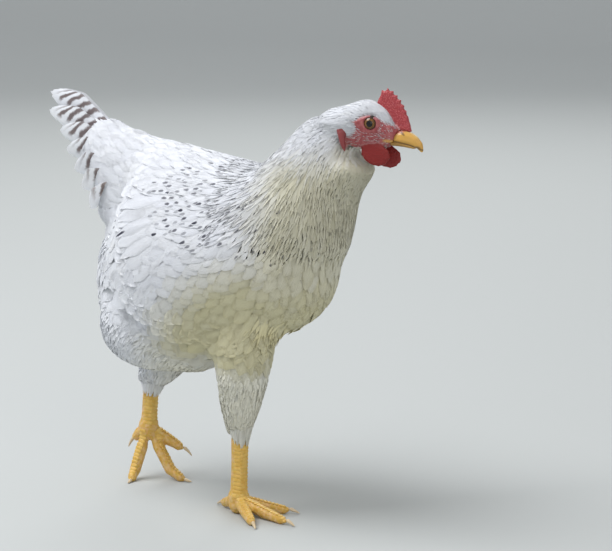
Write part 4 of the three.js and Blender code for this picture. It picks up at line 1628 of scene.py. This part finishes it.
def in_fluff(points):
    return (over_fluff(points) < FLUFF_DEPTH) & (points[:, 2] > HOCK_HEIGHT * MM) & (wing_reach(points) < 4)


def shortened(facts, roots):
    """Facts with each wing feather cut at the wing's outline, and short of the flight feathers' ends."""
    way = facts[:, :3]
    best = np.full(len(roots), 0.5)
    for share in np.linspace(0.4, 1, 13):
        tips = roots + way * facts[:, LENGTH, None] * MM * share
        spare = TIP_GAP * smooth_step(*GAP_HEIGHTS, tips[:, 2] / MM)
        best = np.where((wing_reach(tips) > -3) & (ahead_of_wing_end(tips) > spare), share, best)
    facts = facts.copy()
    facts[:, LENGTH] *= best
    facts[:, WIDTH] *= best**0.25
    return facts


def lay_fluff(body, lie, rng):
    """Narrow plumes over the belly, rear and thighs, that end under the vanes of the flank."""
    roots = spread_roots(body, lie, in_fluff, 60000, SEED + 4, closer=0.42)
    facts = lie.at(roots)
    facts[:, LENGTH] *= WISP_LENGTH
    facts[:, WIDTH] = WISP_WIDTH
    above = over_fluff(roots)
    rise = WISP_RISE * smooth_step(0, 8, above)
    rise -= WISP_SINK * smooth_step(4, -8, above) * smooth_step(-50, -20, above)
    return lay_vanes("fluff", body, lie, roots, rng, facts=facts, rise=rise[:, None, None], **WISPS)


def lay_upper_coat(winged, lie, rng):
    """The small feathers of the head, the hackle, and the vanes of the wings and the back."""
    roots = spread_roots(winged, lie, over_back, 90000, SEED, closer=0.85)
    neck_roots = spread_roots(winged, lie, on_neck, 60000, SEED + 5, closer=0.62)
    on_face = from_face(roots) < FACE_REACH
    on_wing = wing_reach(roots) > 0
    rest = ~(on_face | on_neck(roots) | on_wing)
    spare = ROOT_GAP * smooth_step(*GAP_HEIGHTS, roots[:, 2] / MM)
    wing = roots[on_wing & (ahead_of_wing_end(roots) > spare)]
    facts = shortened(lie.at(wing), wing)
    tips = wing + facts[:, :3] * facts[:, LENGTH, None] * MM
    by_edge = (smooth_step(16, 2, wing_reach(tips)) * smooth_step(40, 5, tips[:, 0] / MM))[:, None, None]
    flare = by_edge * FLARE * np.linspace(0, 1, VANES["rows"])[None, :, None] ** 2
    return [
        lay_vanes("head_feathers", winged, lie, roots[on_face], rng, **FINE_VANES),
        lay_vanes("hackle", winged, lie, neck_roots, rng, **HACKLE),
        lay_vanes("wing_feathers", winged, lie, wing, rng, facts=facts, rise=flare, **VANES),
        lay_vanes("upper_feathers", winged, lie, roots[rest], rng, **VANES),
    ]


def lay_lower_coat(body, lie, rng):
    """The vanes of the breast and flank below the wings, shorter where they end over the fluff."""
    roots = spread_roots(body, lie, under_wing, 60000, SEED + 1, closer=0.85)
    facts = lie.at(roots)
    full = smooth_step(-5, 32, over_fluff(roots))
    facts[:, LENGTH] *= 0.6 + 0.4 * full
    facts[:, WIDTH] *= 0.5 + 0.5 * full
    front = roots[:, 0] > 0
    return [
        lay_vanes(f"lower_{end}_feathers", body, lie, roots[part], rng, facts=facts[part], **VANES)
        for end, part in (("front", front), ("rear", ~front))
    ]


def lay_down(winged, body, lie, rng):
    """A layer of broad plain vanes under the others, so that no skin shows between them."""
    upper = spread_roots(winged, lie, over_back, 30000, SEED + 2)
    upper = upper[np.linalg.norm(in_head(upper), axis=1) > DOWN_REACH]
    facts = lie.at(upper)
    on_wing = wing_reach(upper) > 0
    facts[on_wing] = shortened(facts[on_wing], upper[on_wing])
    lower = spread_roots(body, lie, lambda points: in_fluff(points) | under_wing(points), 30000, SEED + 3)
    settled = -DOWN_SINK * smooth_step(8, -6, over_fluff(lower))[:, None, None]
    return [
        lay_vanes("upper_down", winged, lie, upper, rng, facts=facts, **DOWN),
        lay_vanes("lower_down", body, lie, lower, rng, rise=settled, **DOWN),
    ]


# ---- The whole bird ----


def dress():
    rng = np.random.default_rng(SEED)
    lie = Lie()
    without_wings = [node for node in FEATHERED if "wing" not in node]
    body = make_envelope("body envelope", without_wings, tail_root())
    without_trunk = [node for node in without_wings if node != "trunk"]
    winged = make_envelope("winged envelope", without_trunk, tail_root() + [widened_trunk()])
    skin = make_skin(body, winged, lie)
    skin.data.materials.append(skin_material())
    coat = [
        lay_fluff(body, lie, rng),
        *lay_upper_coat(winged, lie, rng),
        *lay_lower_coat(body, lie, rng),
        *lay_down(winged, body, lie, rng),
        lay_bristles(lie, rng),
        lay_tail(rng),
        lay_tail_coverts(rng),
        lay_flight(winged, lie, rng),
        lay_fringes(rng),
    ]
    plumage, fluff = plumage_material(), fluff_material()
    for piece in coat:
        piece.data.materials.append(fluff if piece.name == "fluff" else plumage)
        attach(piece, "root")
    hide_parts(*FEATHERED, "tail", *BARE)
    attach(skin, "root")
    for surface in (body, winged):
        bpy.data.objects.remove(surface.piece)
    lay_scutes(skin.data)
    eye = eye_material()
    for side in SIDES:
        make_eye(side, eye)
    bill = smooth_copy("bill", ["beak_upper", "beak_lower"], BILL_VOXEL, 5, horn_material())
    mark_bill(bill.data)
    claws = [f"claw_{toe}_{side}" for toe in ("inner", "middle", "outer", "back") for side in SIDES]
    smooth_copy("claws", claws, CLAW_VOXEL, 4, claw_material())


make_camera()
dress()
make_lights()
make_floor()
scene = bpy.context.scene
scene.view_settings.view_transform = "Standard"
